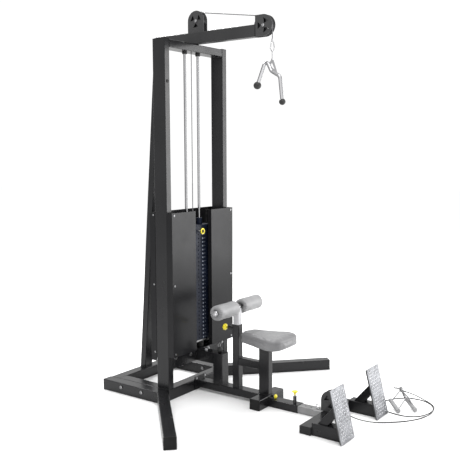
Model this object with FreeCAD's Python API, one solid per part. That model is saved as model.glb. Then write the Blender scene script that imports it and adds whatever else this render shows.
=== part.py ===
import FreeCAD, Part
import math
import os

# Lat pulldown machine with a seated low row station, as separate STEP solids.
#
# +X is the machine's right as its user faces away from the tower, +Y points to
# the rear of the tower and +Z is up.  Lengths along Y are written from the front
# face of the tower, negative towards the user, and every solid is then moved so
# that the origin lies on the floor in the middle of the machine's footprint.

os.makedirs("parts", exist_ok=True)

V = FreeCAD.Vector
X_AXIS = V(1, 0, 0)
Y_AXIS = V(0, 1, 0)
Z_AXIS = V(0, 0, 1)

# Steel tube stock
WIDE = 76.2             # 3 inch side of the base tubes
NARROW = 50.8           # 2 inch side
DEEP = 101.6            # 4 inch side of the uprights and the top crossbar
WALL = 3.0
CORNER = 5.0            # outer corner radius of a tube

# Tower
TOWER_SHIFT = 371.5     # y of the tower's front face in the finished part
HALF_WIDTH = 335.6      # centre plane to the outer face of an upright
BASE_DEPTH = 535.0
TOWER_TOP = 2378.0
STACK_Y = DEEP / 2      # rods, stack and cable run midway between upright faces
LEG_ANGLE = 45.8
LEG_LENGTH = 776.0      # from the mitre to the end of the leg
MITRE_Y = 23.3
SIDE_X = HALF_WIDTH + WIDE / 2
BASE_BOLT_Y = (181.7, 369.2)
BASE_BOLT_Z = 46.6

# Boom, mast and top pulleys
BOOM_FRONT = -482.0
BOOM_REAR = 352.0
BOOM_BASE = TOWER_TOP
BOOM_TOP = BOOM_BASE + WIDE
MAST_LEAN = 0.0785      # forward travel of the mast per unit of height
CABLE_RADIUS = 3.0
PULLEY_PITCH = 57.0     # axle to cable centre
PULLEY_RIM = 63.5
PULLEY_HALF = 11.0
AXLE_RADIUS = 6.0
RUNNING_GAP = 0.05
REAR_PULLEY = (STACK_Y - PULLEY_PITCH, 2528.0)
FRONT_PULLEY = (-542.0, 2444.0)
PLATE_RADIUS = 67.0     # round end of a pulley side plate
PLATE_INNER = 16.0      # side plates stand this far from the centre plane
PLATE_THICK = 4.0

# Weight stack
ROD_X = 70.5
ROD_RADIUS = 9.5
PLATE_PITCH = 27.0
FIXED_PLATES = 28
STACK_HALF = 140.0
STACK_BASE = 348.0
PLATE_DEPTH = 96.0
STEM_RADIUS = 12.0
PIN_RADIUS = 4.8
HEAD_BASE = STACK_BASE + (FIXED_PLATES + 1) * PLATE_PITCH
HEAD_TOP = HEAD_BASE + PLATE_PITCH
PIN_Z = HEAD_BASE - PLATE_PITCH / 2
PIN_REACH = 38.0        # stack's front face to the pull ring
ANCHOR_TOP = HEAD_TOP + 62.0

# Shields around the stack
SHIELD_BASE = 302.0
SHIELD_TOP = 1262.0
REAR_SHIELD_BASE = 262.0
SHIELD_DEPTH = 46.0
SHEET = 2.0
SLOT_LEFT = -90.0
SLOT_RIGHT = 85.0

# Seat station
BEAM_BASE = 20.0
BEAM_TOP = BEAM_BASE + NARROW
STACK_POST_Y = -183.5
STACK_POST_TOP = 286.0
THIGH_Y = -325.6
THIGH_POST_TOP = 505.0
SEAT_POST_Y = -551.0
FOOT_REAR = -523.0      # rear face of the seat's cross foot
FOOT_FRONT = FOOT_REAR - WIDE
SEAT_POST_TOP = 392.0
FOOT_HALF = 143.0
BRACE_TOP = 282.0
SEAT_BASE = 405.0
SEAT_TOP = 474.0
SEAT_REAR = -374.0
SEAT_FRONT = -738.0
SEAT_REAR_HALF = 78.0
SEAT_FRONT_HALF = 155.0
BOARD_THICK = 8.0
BOARD_INSET = 30.0
ROLLER_Z = 622.0
ROLLER_RADIUS = 49.0
ROLLER_INNER = 27.0
ROLLER_OUTER = 248.0
ROLLER_AXLE = 12.5
SLEEVE_RADIUS = 20.0

# Pull pins
THIGH_PIN_Z = 473.0
THIGH_KNOB = 22.5
STOP_PIN_Z = 64.0
STOP_PIN_RADIUS = 3.5
STOP_BUSHING = 16.0     # length of the bushing in front of the foot
REACH_PIN_Y = -775.0
REACH_BARREL_TOP = 96.0

# Low row extension
RECEIVER_FRONT = -815.0
SLIDER_WIDTH = 69.6
SLIDER_HEIGHT = 44.2
SLIDER_BASE = 3.3
SLIDER_REAR = -680.0
CROSS_REAR = -988.0
CROSS_HALF = 285.0
FRAME_X = -20.0         # middle of the foot frame
PLATE_X = 240.0         # middle of the foot frame to the middle of a foot plate
PLATE_WIDTH = 166.0
PLATE_LENGTH = 314.0
PLATE_LEAN = 14.0
PLATE_FOOT_Y = -1283.0
TREAD = 4.0
BACKING = 8.0
STRUT_ANGLE = 49.5
LOW_PULLEY = (-1041.0, 118.0)

# Lat handle: (y, z) places are measured from the cable and from BAR_Z
HANDLE_Y = FRONT_PULLEY[0] - PULLEY_PITCH
CLIP_TOP = 2343.0
CLIP_LENGTH = 60.0
BAR_Z = 2160.0
SADDLE_TOP = BAR_Z + 66.0
BAR_RADIUS = 12.0
BALL_RADII = (25.0, 20.5)
BAR_BENDS = ((110, -77), (46, 76), (7, 0), (-56, -37), (-73, -188))
BAR_FILLETS = (18.0, 30.0, 25.0)
SADDLE_OUTLINE = ((8, 66), (-8, 66), (-38, -20), (4, -2), (30, 44))
SADDLE_WINDOW = ((0, 50), (-20, 6), (0, 18), (14, 36))

# Low row handle, standing on the floor at the end of its cable
HUB = (462.0, -1301.0, 110.0)
GRIP_TOPS = ((404.0, -1254.0, 50.0), (482.0, -1332.0, 50.0))
GRIP_FEET = ((330.0, -1341.0, 15.5), (408.0, -1422.0, 15.5))
SHOULDERS = ((403.0, -1355.0, 77.0), (455.0, -1360.0, 68.0))
GRIP_RADIUS = 15.0
ROW_ROD = 4.0

# Low row cable: down from the front of the low pulley, once round on the floor
# and up to the handle.  LOOP is the height of its centre line on the floor.
CORD_RADIUS = 3.0
LOOP = CORD_RADIUS + 0.2
CORD_ROUTE = (
    (0, -1098.2, 118), (0, -1102, 86), (5, -1128, 56), (22, -1172, 34), (48, -1222, 17),
    (84, -1276, 6), (128, -1332, LOOP), (180, -1392, LOOP), (238, -1442, LOOP),
    (300, -1480, LOOP), (366, -1503, LOOP), (436, -1512, LOOP), (506, -1504, LOOP),
    (570, -1478, LOOP), (622, -1430, LOOP), (649, -1364, LOOP), (640, -1296, LOOP),
    (600, -1238, LOOP), (542, -1196, LOOP), (476, -1170, LOOP), (406, -1166, LOOP),
    (354, -1200, LOOP), (322, -1252, LOOP), (306, -1310, LOOP), (298, -1366, LOOP),
    (310, -1418, LOOP), (344, -1466, LOOP), (388, -1498, 7.5), (438, -1518, 15),
    (490, -1520, 27), (513, -1482, 43), (510, -1434, 60), (508, -1390, 76),
    (498, -1355, 88), (480, -1328, 98),
)


def section(dx, dy, wall=0.0, corner=CORNER):
    """Rounded rectangle in the XY plane, hollow when a wall is given."""
    outer = rounded_wire(dx, dy, corner)
    if not wall:
        return Part.Face(outer)
    inner = rounded_wire(dx - 2 * wall, dy - 2 * wall, max(corner - wall, 1.0))
    return Part.Face(outer).cut(Part.Face(inner)).Faces[0]


def rounded_wire(dx, dy, corner):
    x, y = dx / 2 - corner, dy / 2 - corner
    arcs = []
    for cx, cy, start in ((x, y, 0), (-x, y, 90), (-x, -y, 180), (x, -y, 270)):
        circle = Part.Circle(V(cx, cy, 0), Z_AXIS, corner)
        arcs.append(Part.Arc(circle, math.radians(start), math.radians(start + 90)).toShape())
    edges = []
    for index, arc in enumerate(arcs):
        following = arcs[(index + 1) % 4]
        edges.append(arc)
        edges.append(Part.makeLine(arc.Vertexes[-1].Point, following.Vertexes[0].Point))
    return Part.Wire(edges)


def tube_z(x, y, z0, z1, dx, dy, wall=WALL):
    solid = section(dx, dy, wall).extrude(V(0, 0, z1 - z0))
    solid.translate(V(x, y, z0))
    return solid


def tube_x(x0, x1, y, z, dy, dz, wall=WALL):
    solid = section(dz, dy, wall).extrude(V(0, 0, x1 - x0))
    solid.rotate(V(0, 0, 0), Y_AXIS, 90)
    solid.translate(V(x0, y, z))
    return solid


def tube_y(x, y0, y1, z, dx, dz, wall=WALL):
    solid = section(dx, dz, wall).extrude(V(0, 0, y1 - y0))
    solid.rotate(V(0, 0, 0), X_AXIS, -90)
    solid.translate(V(x, y0, z))
    return solid


def box(x0, x1, y0, y1, z0, z1):
    return Part.makeBox(x1 - x0, y1 - y0, z1 - z0, V(x0, y0, z0))


def rod(radius, start, end):
    direction = end.sub(start)
    return Part.makeCylinder(radius, direction.Length, start, direction)


def half_space(point, normal, size=900.0):
    """Large block on the side of the plane that the normal points to."""
    block = Part.makeBox(size, size, size, V(-size / 2, -size / 2, 0))
    block.Placement = FreeCAD.Placement(point, FreeCAD.Rotation(Z_AXIS, normal))
    return block


def mirrored(shape):
    return shape.mirror(V(0, 0, 0), X_AXIS)


def both(left):
    return Part.makeCompound([left, mirrored(left)])


def bolt_head(point, direction, radius=11.0, height=8.0):
    """Domed bolt head on a washer, standing on a face."""
    washer = Part.makeCylinder(radius + 2, 2.0, point, direction)
    head = Part.makeCylinder(radius, height, point, direction)
    rim = head.Edges[0] if head.Edges[0].BoundBox.Center.distanceToPoint(point) > 1 else head.Edges[2]
    head = head.makeFillet(min(height * 0.6, radius * 0.6), [rim])
    return washer.fuse(head).removeSplitter()


def screws(points, direction):
    return Part.makeCompound([bolt_head(p, direction, 5.0, 3.0) for p in points])


def tangent_arc(before, corner, after, bend):
    """Start, middle and end of the arc that rounds a corner of a path."""
    into = corner.sub(before)
    out = after.sub(corner)
    back = bend * math.tan(into.getAngle(out) / 2)
    into.normalize()
    out.normalize()
    inward = out.sub(into)
    inward.normalize()
    centre = corner.add(inward * math.hypot(bend, back))
    return corner.sub(into * back), centre.sub(inward * bend), corner.add(out * back)


def cord(points, radius):
    """Round cord of straight runs and tangent arcs, each as large as its runs allow.

    Returns the solid, its length and the arc radii.
    """
    edges = []
    radii = []
    cursor = points[0]
    for before, corner, after in zip(points, points[1:], points[2:]):
        into = corner.sub(before)
        out = after.sub(corner)
        bend = 0.45 * min(into.Length, out.Length) / math.tan(into.getAngle(out) / 2)
        start, middle, end = tangent_arc(before, corner, after, bend)
        edges.append(Part.LineSegment(cursor, start).toShape())
        edges.append(Part.Arc(start, middle, end).toShape())
        radii.append(bend)
        cursor = end
    edges.append(Part.LineSegment(cursor, points[-1]).toShape())
    path = Part.Wire(edges)
    return sweep(path, radius), path.Length, radii


def sweep(path, radius):
    start = path.Edges[0]
    tangent = start.tangentAt(start.FirstParameter)
    ring = Part.Wire(Part.Circle(start.valueAt(start.FirstParameter), tangent, radius).toShape())
    return path.makePipeShell([ring], True, False)


def save(node, shape):
    if not shape.isValid() or shape.Volume <= 0:
        raise ValueError("bad solid in " + node)
    moved = shape.copy()
    moved.translate(V(0, TOWER_SHIFT, 0))
    moved.exportStep("parts/" + node + ".step")


def save_pair(node, left):
    """Save the left part and its mirror image."""
    save(node + "_left", left)
    save(node + "_right", mirrored(left))


# ---------------------------------------------------------------- tower frame

def side_rail():
    """Outer base tube, mitred at the front for the leg."""
    corner = V(-SIDE_X, MITRE_Y, WIDE / 2)
    half = math.radians(LEG_ANGLE / 2)
    normal = V(-math.sin(half), -math.cos(half), 0)
    rail = tube_y(-SIDE_X, MITRE_Y - WIDE, BASE_DEPTH, WIDE / 2, WIDE, WIDE)
    return rail.cut(half_space(corner, normal))


def leg():
    corner = V(-SIDE_X, MITRE_Y, WIDE / 2)
    half = math.radians(LEG_ANGLE / 2)
    normal = V(math.sin(half), math.cos(half), 0)
    stock = tube_y(0, -LEG_LENGTH, WIDE, 0, WIDE, WIDE)
    stock.rotate(V(0, 0, 0), Z_AXIS, -LEG_ANGLE)
    stock.translate(corner)
    return stock.cut(half_space(corner, normal))


def leg_cap():
    cap = section(WIDE, WIDE).extrude(V(0, 0, 5.0))
    cap.rotate(V(0, 0, 0), X_AXIS, 90)
    cap.translate(V(0, -LEG_LENGTH, 0))
    cap.rotate(V(0, 0, 0), Z_AXIS, -LEG_ANGLE)
    cap.translate(V(-SIDE_X, MITRE_Y, WIDE / 2))
    return cap


def rail_cap():
    cap = section(WIDE, WIDE).extrude(V(0, 0, 5.0))
    cap.rotate(V(0, 0, 0), X_AXIS, -90)
    cap.translate(V(-SIDE_X, BASE_DEPTH, WIDE / 2))
    return cap


def base_bolts():
    heads = []
    for y in BASE_BOLT_Y:
        for side in (-1, 1):
            outer = V(side * (HALF_WIDTH + WIDE), y, BASE_BOLT_Z)
            inner = V(side * (HALF_WIDTH - WIDE), y, BASE_BOLT_Z)
            heads.append(bolt_head(outer, V(side, 0, 0)))
            heads.append(bolt_head(inner, V(-side, 0, 0)))
    return Part.makeCompound(heads)


def upright():
    x = -HALF_WIDTH + NARROW / 2
    return tube_z(x, DEEP / 2, WIDE, TOWER_TOP, NARROW, DEEP)


def upright_cap():
    cap = section(NARROW, DEEP).extrude(V(0, 0, 4.0))
    cap.translate(V(-HALF_WIDTH + NARROW / 2, DEEP / 2, TOWER_TOP))
    return cap


def top_crossbar():
    """Flat tube between the uprights that holds the tops of the guide rods."""
    reach = HALF_WIDTH - NARROW
    bar = tube_x(-reach, reach, DEEP / 2, TOWER_TOP - NARROW / 2, DEEP, NARROW)
    bar = bar.cut(rod(8.0, V(0, STACK_Y, TOWER_TOP - NARROW - 5), V(0, STACK_Y, TOWER_TOP + 5)))
    for x in (-ROD_X, ROD_X):
        under = TOWER_TOP - NARROW
        socket = rod(ROD_RADIUS, V(x, STACK_Y, under - 5), V(x, STACK_Y, under + WALL))
        bar = bar.cut(socket)
    return bar


def stack_shelf():
    """Crossmember low between the uprights that carries rods and stack."""
    reach = HALF_WIDTH - NARROW
    return tube_x(-reach, reach, DEEP / 2, STACK_POST_TOP - WIDE / 2, DEEP, WIDE)


def mast():
    """Rear tube that leans forward from the base up to the boom's rear end."""
    low_y = BASE_DEPTH - NARROW / 2
    lean = math.degrees(math.atan(MAST_LEAN))
    stock = tube_z(0, 0, -100, BOOM_BASE + 100, WIDE, NARROW)
    stock.rotate(V(0, 0, 0), X_AXIS, lean)
    stock.translate(V(0, low_y, WIDE))
    return stock.common(box(-60, 60, 0, 700, WIDE, BOOM_BASE))


def boom():
    """Top tube, bored for the cable and notched round the front pulley."""
    tube = tube_y(0, BOOM_FRONT, BOOM_REAR, BOOM_BASE + WIDE / 2, NARROW, WIDE)
    y, z = FRONT_PULLEY
    notch = rod(PLATE_RADIUS + 1, V(-21, y, z), V(21, y, z))
    cable_bore = rod(8.0, V(0, STACK_Y, BOOM_BASE - 5), V(0, STACK_Y, BOOM_TOP + 5))
    return tube.cut([notch, cable_bore])


def boom_cap():
    cap = section(NARROW, WIDE).extrude(V(0, 0, 4.0))
    cap.rotate(V(0, 0, 0), X_AXIS, -90)
    cap.translate(V(0, BOOM_REAR, BOOM_BASE + WIDE / 2))
    return cap


# -------------------------------------------------------------------- pulleys

def pulley(centre):
    """Grooved wheel that turns on an axle along X, with three lightening holes."""
    y, z = centre
    hub = AXLE_RADIUS + RUNNING_GAP
    bottom = PULLEY_PITCH - CABLE_RADIUS - 0.4
    half_profile = [
        (PLATE_INNER - 0.3, hub),
        (PLATE_INNER - 0.3, hub + 8),
        (5.0, hub + 12),
        (5.0, bottom - 8),
        (PULLEY_HALF, bottom - 6),
        (PULLEY_HALF, PULLEY_RIM - 1.5),
        (PULLEY_HALF - 1.5, PULLEY_RIM),
        (8.0, PULLEY_RIM),
        (3.3, bottom),
    ]
    outline = [V(x, 0, r) for x, r in half_profile]
    outline += [V(-x, 0, r) for x, r in reversed(half_profile)]
    face = Part.Face(Part.makePolygon(outline + outline[:1]))
    wheel = face.revolve(V(0, 0, 0), X_AXIS, 360)
    ring = (hub + 12 + bottom - 8) / 2
    for turn in range(3):
        angle = math.radians(90 + 120 * turn)
        hole = V(-20, ring * math.cos(angle), ring * math.sin(angle))
        wheel = wheel.cut(Part.makeCylinder(9.0, 40, hole, X_AXIS))
    wheel.translate(V(0, y, z))
    return wheel


def triangle_windows(centre, x, first):
    """Three triangular cut-outs around an axle, the first at the given angle."""
    y, z = centre
    tools = []
    for turn in range(3):
        middle = math.radians(first + 120 * turn)
        corners = []
        for radius, offset in ((13.0, 0.0), (47.0, 0.5), (47.0, -0.5)):
            angle = middle + offset
            corners.append(V(x - 5, y + radius * math.cos(angle), z + radius * math.sin(angle)))
        face = Part.Face(Part.makePolygon(corners + corners[:1]))
        tools.append(face.extrude(V(15, 0, 0)))
    return tools


def side_plate(centre, low, rear=None):
    """One pulley side plate: a round end over a straight sided foot."""
    y, z = centre
    x = PLATE_INNER
    disc = Part.makeCylinder(PLATE_RADIUS, PLATE_THICK, V(x, y, z), X_AXIS)
    if rear is None:
        foot = box(x, x + PLATE_THICK, y - PLATE_RADIUS, y + PLATE_RADIUS, low, z)
        windows = triangle_windows(centre, x, -90)
    else:
        foot = box(x, x + PLATE_THICK, y, rear, z - PLATE_RADIUS, z + PLATE_RADIUS)
        windows = triangle_windows(centre, x, 0)
    plate = disc.fuse(foot).removeSplitter()
    bolt_hole = Part.makeCylinder(AXLE_RADIUS, 60, V(0, y, z), X_AXIS)
    return plate.cut(windows + [bolt_hole])


def housing(right_plate):
    return Part.makeCompound([mirrored(right_plate), right_plate])


def axle(centre):
    """Pulley bolt with a domed head on the left and a nut on the right."""
    y, z = centre
    outside = PLATE_INNER + PLATE_THICK
    shaft = rod(AXLE_RADIUS, V(-outside - 1, y, z), V(outside + 1, y, z))
    head = bolt_head(V(-outside, y, z), V(-1, 0, 0), 10.0, 7.0)
    nut = Part.makeCylinder(9.5, 8.0, V(outside, y, z), X_AXIS)
    return shaft.fuse(head).fuse(nut).removeSplitter()


def top_cable():
    """Cable laid over both top pulleys, with the straight run between them."""
    ry, rz = REAR_PULLEY
    fy, fz = FRONT_PULLEY
    slope = math.atan2(rz - fz, ry - fy)
    up = V(0, -math.sin(slope), math.cos(slope)) * PULLEY_PITCH
    rear_centre = V(0, ry, rz)
    front_centre = V(0, fy, fz)
    rear_top = rear_centre.add(up)
    front_top = front_centre.add(up)
    rear_side = V(0, ry + PULLEY_PITCH, rz)
    front_side = V(0, fy - PULLEY_PITCH, fz)
    rear_mid_angle = (math.pi / 2 + slope) / 2
    rear_mid = rear_centre.add(V(0, math.cos(rear_mid_angle), math.sin(rear_mid_angle)) * PULLEY_PITCH)
    front_mid_angle = (math.pi / 2 + slope + math.pi) / 2
    front_mid = front_centre.add(V(0, math.cos(front_mid_angle), math.sin(front_mid_angle)) * PULLEY_PITCH)
    path = Part.Wire([
        Part.Arc(rear_side, rear_mid, rear_top).toShape(),
        Part.LineSegment(rear_top, front_top).toShape(),
        Part.Arc(front_top, front_mid, front_side).toShape(),
    ])
    return sweep(path, CABLE_RADIUS)


# ---------------------------------------------------------------- weight stack

def guide_rod(x):
    return rod(ROD_RADIUS, V(x, STACK_Y, STACK_POST_TOP), V(x, STACK_Y, TOWER_TOP - NARROW + WALL))


def rod_collar(x):
    outer = rod(17.0, V(x, STACK_Y, TOWER_TOP - NARROW - 16), V(x, STACK_Y, TOWER_TOP - NARROW))
    return outer.cut(rod(ROD_RADIUS, V(x, STACK_Y, 2200), V(x, STACK_Y, 2400)))


def rod_cushion(x):
    outer = rod(24.0, V(x, STACK_Y, STACK_POST_TOP), V(x, STACK_Y, STACK_BASE))
    return outer.cut(rod(ROD_RADIUS, V(x, STACK_Y, 200), V(x, STACK_Y, 400)))


def plate_block(z0, count):
    """Plates resting on each other, drawn as one solid with a groove between."""
    groove = 1.4
    depth = 2.5
    y0 = STACK_Y - PLATE_DEPTH / 2
    y1 = STACK_Y + PLATE_DEPTH / 2
    slabs = []
    holes = []
    for index in range(count):
        base = z0 + index * PLATE_PITCH
        slabs.append(box(-STACK_HALF, STACK_HALF, y0, y1, base, base + PLATE_PITCH - groove))
        if index < count - 1:
            slabs.append(box(-STACK_HALF + depth, STACK_HALF - depth, y0 + depth, y1 - depth,
                             base + PLATE_PITCH - groove, base + PLATE_PITCH))
        middle = base + PLATE_PITCH / 2
        holes.append(rod(PIN_RADIUS + 0.6, V(0, y0 - 1, middle), V(0, STACK_Y, middle)))
    top = z0 + count * PLATE_PITCH + 1
    for x, radius in ((-ROD_X, ROD_RADIUS + 1.5), (ROD_X, ROD_RADIUS + 1.5), (0, STEM_RADIUS + 2.0)):
        holes.append(rod(radius, V(x, STACK_Y, z0 - 1), V(x, STACK_Y, top)))
    block = slabs[0].multiFuse(slabs[1:]) if count > 1 else slabs[0]
    return block.cut(holes)


def head_plate():
    y0 = STACK_Y - PLATE_DEPTH / 2
    y1 = STACK_Y + PLATE_DEPTH / 2
    plate = box(-STACK_HALF, STACK_HALF, y0, y1, HEAD_BASE, HEAD_TOP - 1)
    for x in (-ROD_X, ROD_X):
        boss = rod(20.0, V(x, STACK_Y, HEAD_TOP - 2), V(x, STACK_Y, HEAD_TOP + 44))
        plate = plate.fuse(boss)
    for x in (-ROD_X, ROD_X):
        bore = rod(ROD_RADIUS + RUNNING_GAP, V(x, STACK_Y, HEAD_BASE - 1), V(x, STACK_Y, HEAD_TOP + 60))
        plate = plate.cut(bore)
    return plate.cut(rod(STEM_RADIUS, V(0, STACK_Y, HEAD_BASE - 1), V(0, STACK_Y, HEAD_TOP + 1)))


def selector_stem():
    """Drilled bar that hangs through the plates, with the cable's end on top."""
    stem = rod(STEM_RADIUS, V(0, STACK_Y, STACK_BASE + 6), V(0, STACK_Y, HEAD_TOP + 10))
    holes = []
    for index in range(FIXED_PLATES + 1):
        z = STACK_BASE + (index + 0.5) * PLATE_PITCH
        holes.append(rod(PIN_RADIUS + 0.3, V(0, STACK_Y - 20, z), V(0, STACK_Y + 20, z)))
    nut = rod(14.0, V(0, STACK_Y, HEAD_TOP + 10), V(0, STACK_Y, HEAD_TOP + 24))
    neck = rod(7.0, V(0, STACK_Y, HEAD_TOP + 24), V(0, STACK_Y, ANCHOR_TOP))
    return stem.cut(holes).fuse(nut).fuse(neck)


def stack_cable():
    return rod(CABLE_RADIUS, V(0, STACK_Y, ANCHOR_TOP), V(0, STACK_Y, REAR_PULLEY[1]))


def selector_pin():
    """Steel pin with a round pull ring in front of the plates."""
    front = STACK_Y - PLATE_DEPTH / 2
    middle = V(0, front - PIN_REACH, PIN_Z)
    shaft = rod(PIN_RADIUS, V(0, front - 24, PIN_Z), V(0, STACK_Y + 8, PIN_Z))
    boss = rod(11.0, V(0, front - 24, PIN_Z), middle)
    ring = Part.makeTorus(15.0, 5.5, middle, Y_AXIS)
    return shaft.fuse(boss).fuse(ring)


# --------------------------------------------------------------------- shields

def front_shield(x_outer, x_inner):
    """Sheet panel before one upright, folded back at both long edges."""
    side = 1 if x_inner > x_outer else -1
    low_x, high_x = min(x_outer, x_inner), max(x_outer, x_inner)
    panel = box(low_x, high_x, -SHIELD_DEPTH, -SHIELD_DEPTH + SHEET, SHIELD_BASE, SHIELD_TOP)
    outer_x = sorted((x_outer, x_outer + side * SHEET))
    inner_x = sorted((x_inner, x_inner - side * SHEET))
    outer = box(outer_x[0], outer_x[1], -SHIELD_DEPTH, -0.2, SHIELD_BASE, SHIELD_TOP)
    inner = box(inner_x[0], inner_x[1], -SHIELD_DEPTH, -16.0, SHIELD_BASE, SHIELD_TOP)
    return panel.fuse(outer).fuse(inner).removeSplitter()


def rear_shield():
    rear = DEEP + SHIELD_DEPTH
    panel = box(-HALF_WIDTH, HALF_WIDTH, rear - SHEET, rear, REAR_SHIELD_BASE, SHIELD_TOP)
    shape = panel
    for side in (-1, 1):
        xs = sorted((side * HALF_WIDTH, side * (HALF_WIDTH - SHEET)))
        shape = shape.fuse(box(xs[0], xs[1], DEEP + 0.2, rear, REAR_SHIELD_BASE, SHIELD_TOP))
    return shape.removeSplitter()


def shield_screws():
    heights = (SHIELD_BASE + 20, (SHIELD_BASE + SHIELD_TOP) / 2, SHIELD_TOP - 16)
    inset = HALF_WIDTH - 22
    front = [V(side * inset, -SHIELD_DEPTH, z) for side in (-1, 1) for z in heights]
    heads = [screws(front, V(0, -1, 0))]
    rear_y = DEEP + 14
    for side in (-1, 1):
        points = [V(side * HALF_WIDTH, rear_y, z) for z in heights]
        heads.append(screws(points, V(side, 0, 0)))
    return Part.makeCompound(heads)


# ---------------------------------------------------------------- seat station

def seat_beam():
    """Flat tube along the floor, with its bolted plate on the front beam."""
    beam = tube_y(0, FOOT_REAR, 0, (BEAM_BASE + BEAM_TOP) / 2, WIDE, NARROW)
    plate = box(-62, 62, -6, 0, 8, 98)
    bore = box(-WIDE / 2 + WALL, WIDE / 2 - WALL, -20, 10, BEAM_BASE + WALL, BEAM_TOP - WALL)
    return beam.fuse(plate.cut(bore)).removeSplitter()


def seat_foot():
    """Cross tube on the floor, with the stop pin's hole in its front wall."""
    tube = tube_x(-FOOT_HALF, FOOT_HALF, FOOT_REAR - WIDE / 2, BEAM_TOP / 2, WIDE, BEAM_TOP)
    start = V(0, FOOT_FRONT - 1, STOP_PIN_Z)
    return tube.cut(rod(STOP_PIN_RADIUS + 0.05, start, start.add(Y_AXIS * 11)))


def stack_post():
    """Short post on the beam, closed on top, and the arm that ties it to the tower."""
    post = tube_z(0, STACK_POST_Y, BEAM_TOP, STACK_POST_TOP - WALL, WIDE, WIDE)
    post = post.fuse(tube_z(0, STACK_POST_Y, STACK_POST_TOP - WALL, STACK_POST_TOP, WIDE, WIDE, 0))
    arm = tube_y(0, STACK_POST_Y + WIDE / 2, 0, STACK_POST_TOP - WIDE / 2, WIDE, WIDE)
    return Part.makeCompound([post, arm])


def thigh_post():
    post = tube_z(0, THIGH_Y, BEAM_TOP, THIGH_POST_TOP, NARROW, NARROW)
    hole = rod(5.6, V(0, THIGH_Y, THIGH_PIN_Z), V(0, THIGH_Y + 40, THIGH_PIN_Z))
    return post.cut(hole)


def seat_post():
    """Post under the seat, with the plate that the seat board is bolted to."""
    post = tube_z(0, SEAT_POST_Y, BEAM_TOP, SEAT_POST_TOP, NARROW, WIDE)
    plate = box(-55, 55, SEAT_POST_Y - 90, SEAT_POST_Y + 90, SEAT_POST_TOP, SEAT_BASE - BOARD_THICK - 0.2)
    return post.fuse(plate)


def seat_brace():
    front = SEAT_POST_Y + WIDE / 2
    rear = THIGH_Y - NARROW / 2
    return tube_y(0, front, rear, BRACE_TOP - NARROW / 2, NARROW, NARROW)


def seat_outline(z, inset):
    """Seat plan: narrow near the tower, wide with rounded corners at the front."""
    rear = SEAT_REAR - inset
    front = SEAT_FRONT + inset
    narrow = SEAT_REAR_HALF - inset
    wide = SEAT_FRONT_HALF - inset
    left_rear = V(-narrow, rear - 30, z)
    right_rear = V(narrow, rear - 30, z)
    left_side = V(-wide, front + 88, z)
    right_side = V(wide, front + 88, z)
    left_front = V(-wide * 0.55, front + 3, z)
    right_front = V(wide * 0.55, front + 3, z)
    corner_x = wide * 0.89
    edges = [
        Part.LineSegment(left_rear, left_side).toShape(),
        Part.Arc(left_side, V(-corner_x, front + 28, z), left_front).toShape(),
        Part.Arc(left_front, V(0, front, z), right_front).toShape(),
        Part.Arc(right_front, V(corner_x, front + 28, z), right_side).toShape(),
        Part.LineSegment(right_side, right_rear).toShape(),
        Part.Arc(right_rear, V(0, rear, z), left_rear).toShape(),
    ]
    return Part.Face(Part.Wire(edges))


def seat_cushion():
    return seat_outline(SEAT_BASE, 0).extrude(V(0, 0, SEAT_TOP - SEAT_BASE))


def seat_board():
    return seat_outline(SEAT_BASE - BOARD_THICK, BOARD_INSET).extrude(V(0, 0, BOARD_THICK - 0.2))


def thigh_tube():
    """Height adjusting tube with a saddle for the roller axle and pin holes."""
    size = NARROW - 2 * WALL - 0.8
    tube = tube_z(0, THIGH_Y, 240, ROLLER_Z - 6, size, size, 2.5)
    tube = tube.cut(rod(SLEEVE_RADIUS, V(-60, THIGH_Y, ROLLER_Z), V(60, THIGH_Y, ROLLER_Z)))
    for step in range(6):
        z = THIGH_PIN_Z - 200 + 40 * step
        tube = tube.cut(rod(5.6, V(0, THIGH_Y, z), V(0, THIGH_Y + 40, z)))
    return tube


def thigh_axle():
    """Bar through both rollers, a sleeve in its middle and a cap on each end."""
    end = ROLLER_OUTER + 3
    bar = rod(ROLLER_AXLE, V(-end, THIGH_Y, ROLLER_Z), V(end, THIGH_Y, ROLLER_Z))
    reach = ROLLER_INNER - 1.5
    bar = bar.fuse(rod(SLEEVE_RADIUS, V(-reach, THIGH_Y, ROLLER_Z), V(reach, THIGH_Y, ROLLER_Z)))
    for side in (-1, 1):
        cap = rod(17.0, V(side * end, THIGH_Y, ROLLER_Z), V(side * (end + 5), THIGH_Y, ROLLER_Z))
        bar = bar.fuse(cap)
    return bar


def roller():
    """Left foam roller, free to turn on the bar."""
    start = V(-ROLLER_OUTER, THIGH_Y, ROLLER_Z)
    end = V(-ROLLER_INNER, THIGH_Y, ROLLER_Z)
    outer = rod(ROLLER_RADIUS, start, end)
    rims = [edge for edge in outer.Edges if edge.Closed and edge.BoundBox.XLength < 1]
    outer = outer.makeFillet(10.0, rims)
    return outer.cut(rod(ROLLER_AXLE + RUNNING_GAP, V(-400, THIGH_Y, ROLLER_Z), V(0, THIGH_Y, ROLLER_Z)))


# ------------------------------------------------------------------- pull pins

def barrel(radius, start, end, bore):
    """Threaded sleeve that guides a spring loaded pin."""
    outer = rod(radius, start, end)
    return outer.cut(rod(bore, start, end))


def thigh_barrel():
    face = THIGH_Y + NARROW / 2
    return barrel(11.0, V(0, face, THIGH_PIN_Z), V(0, face + 48, THIGH_PIN_Z), 5.05)


def round_knob(centre, towards, radius, thickness, fillet):
    """Round knob with softened rims, seen end on along its pull direction."""
    grip = Part.makeCylinder(radius, thickness, centre.sub(towards * (thickness / 2)), towards)
    rims = [edge for edge in grip.Edges if edge.Closed and edge.Length > 1.9 * math.pi * radius]
    return grip.makeFillet(fillet, rims)


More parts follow.
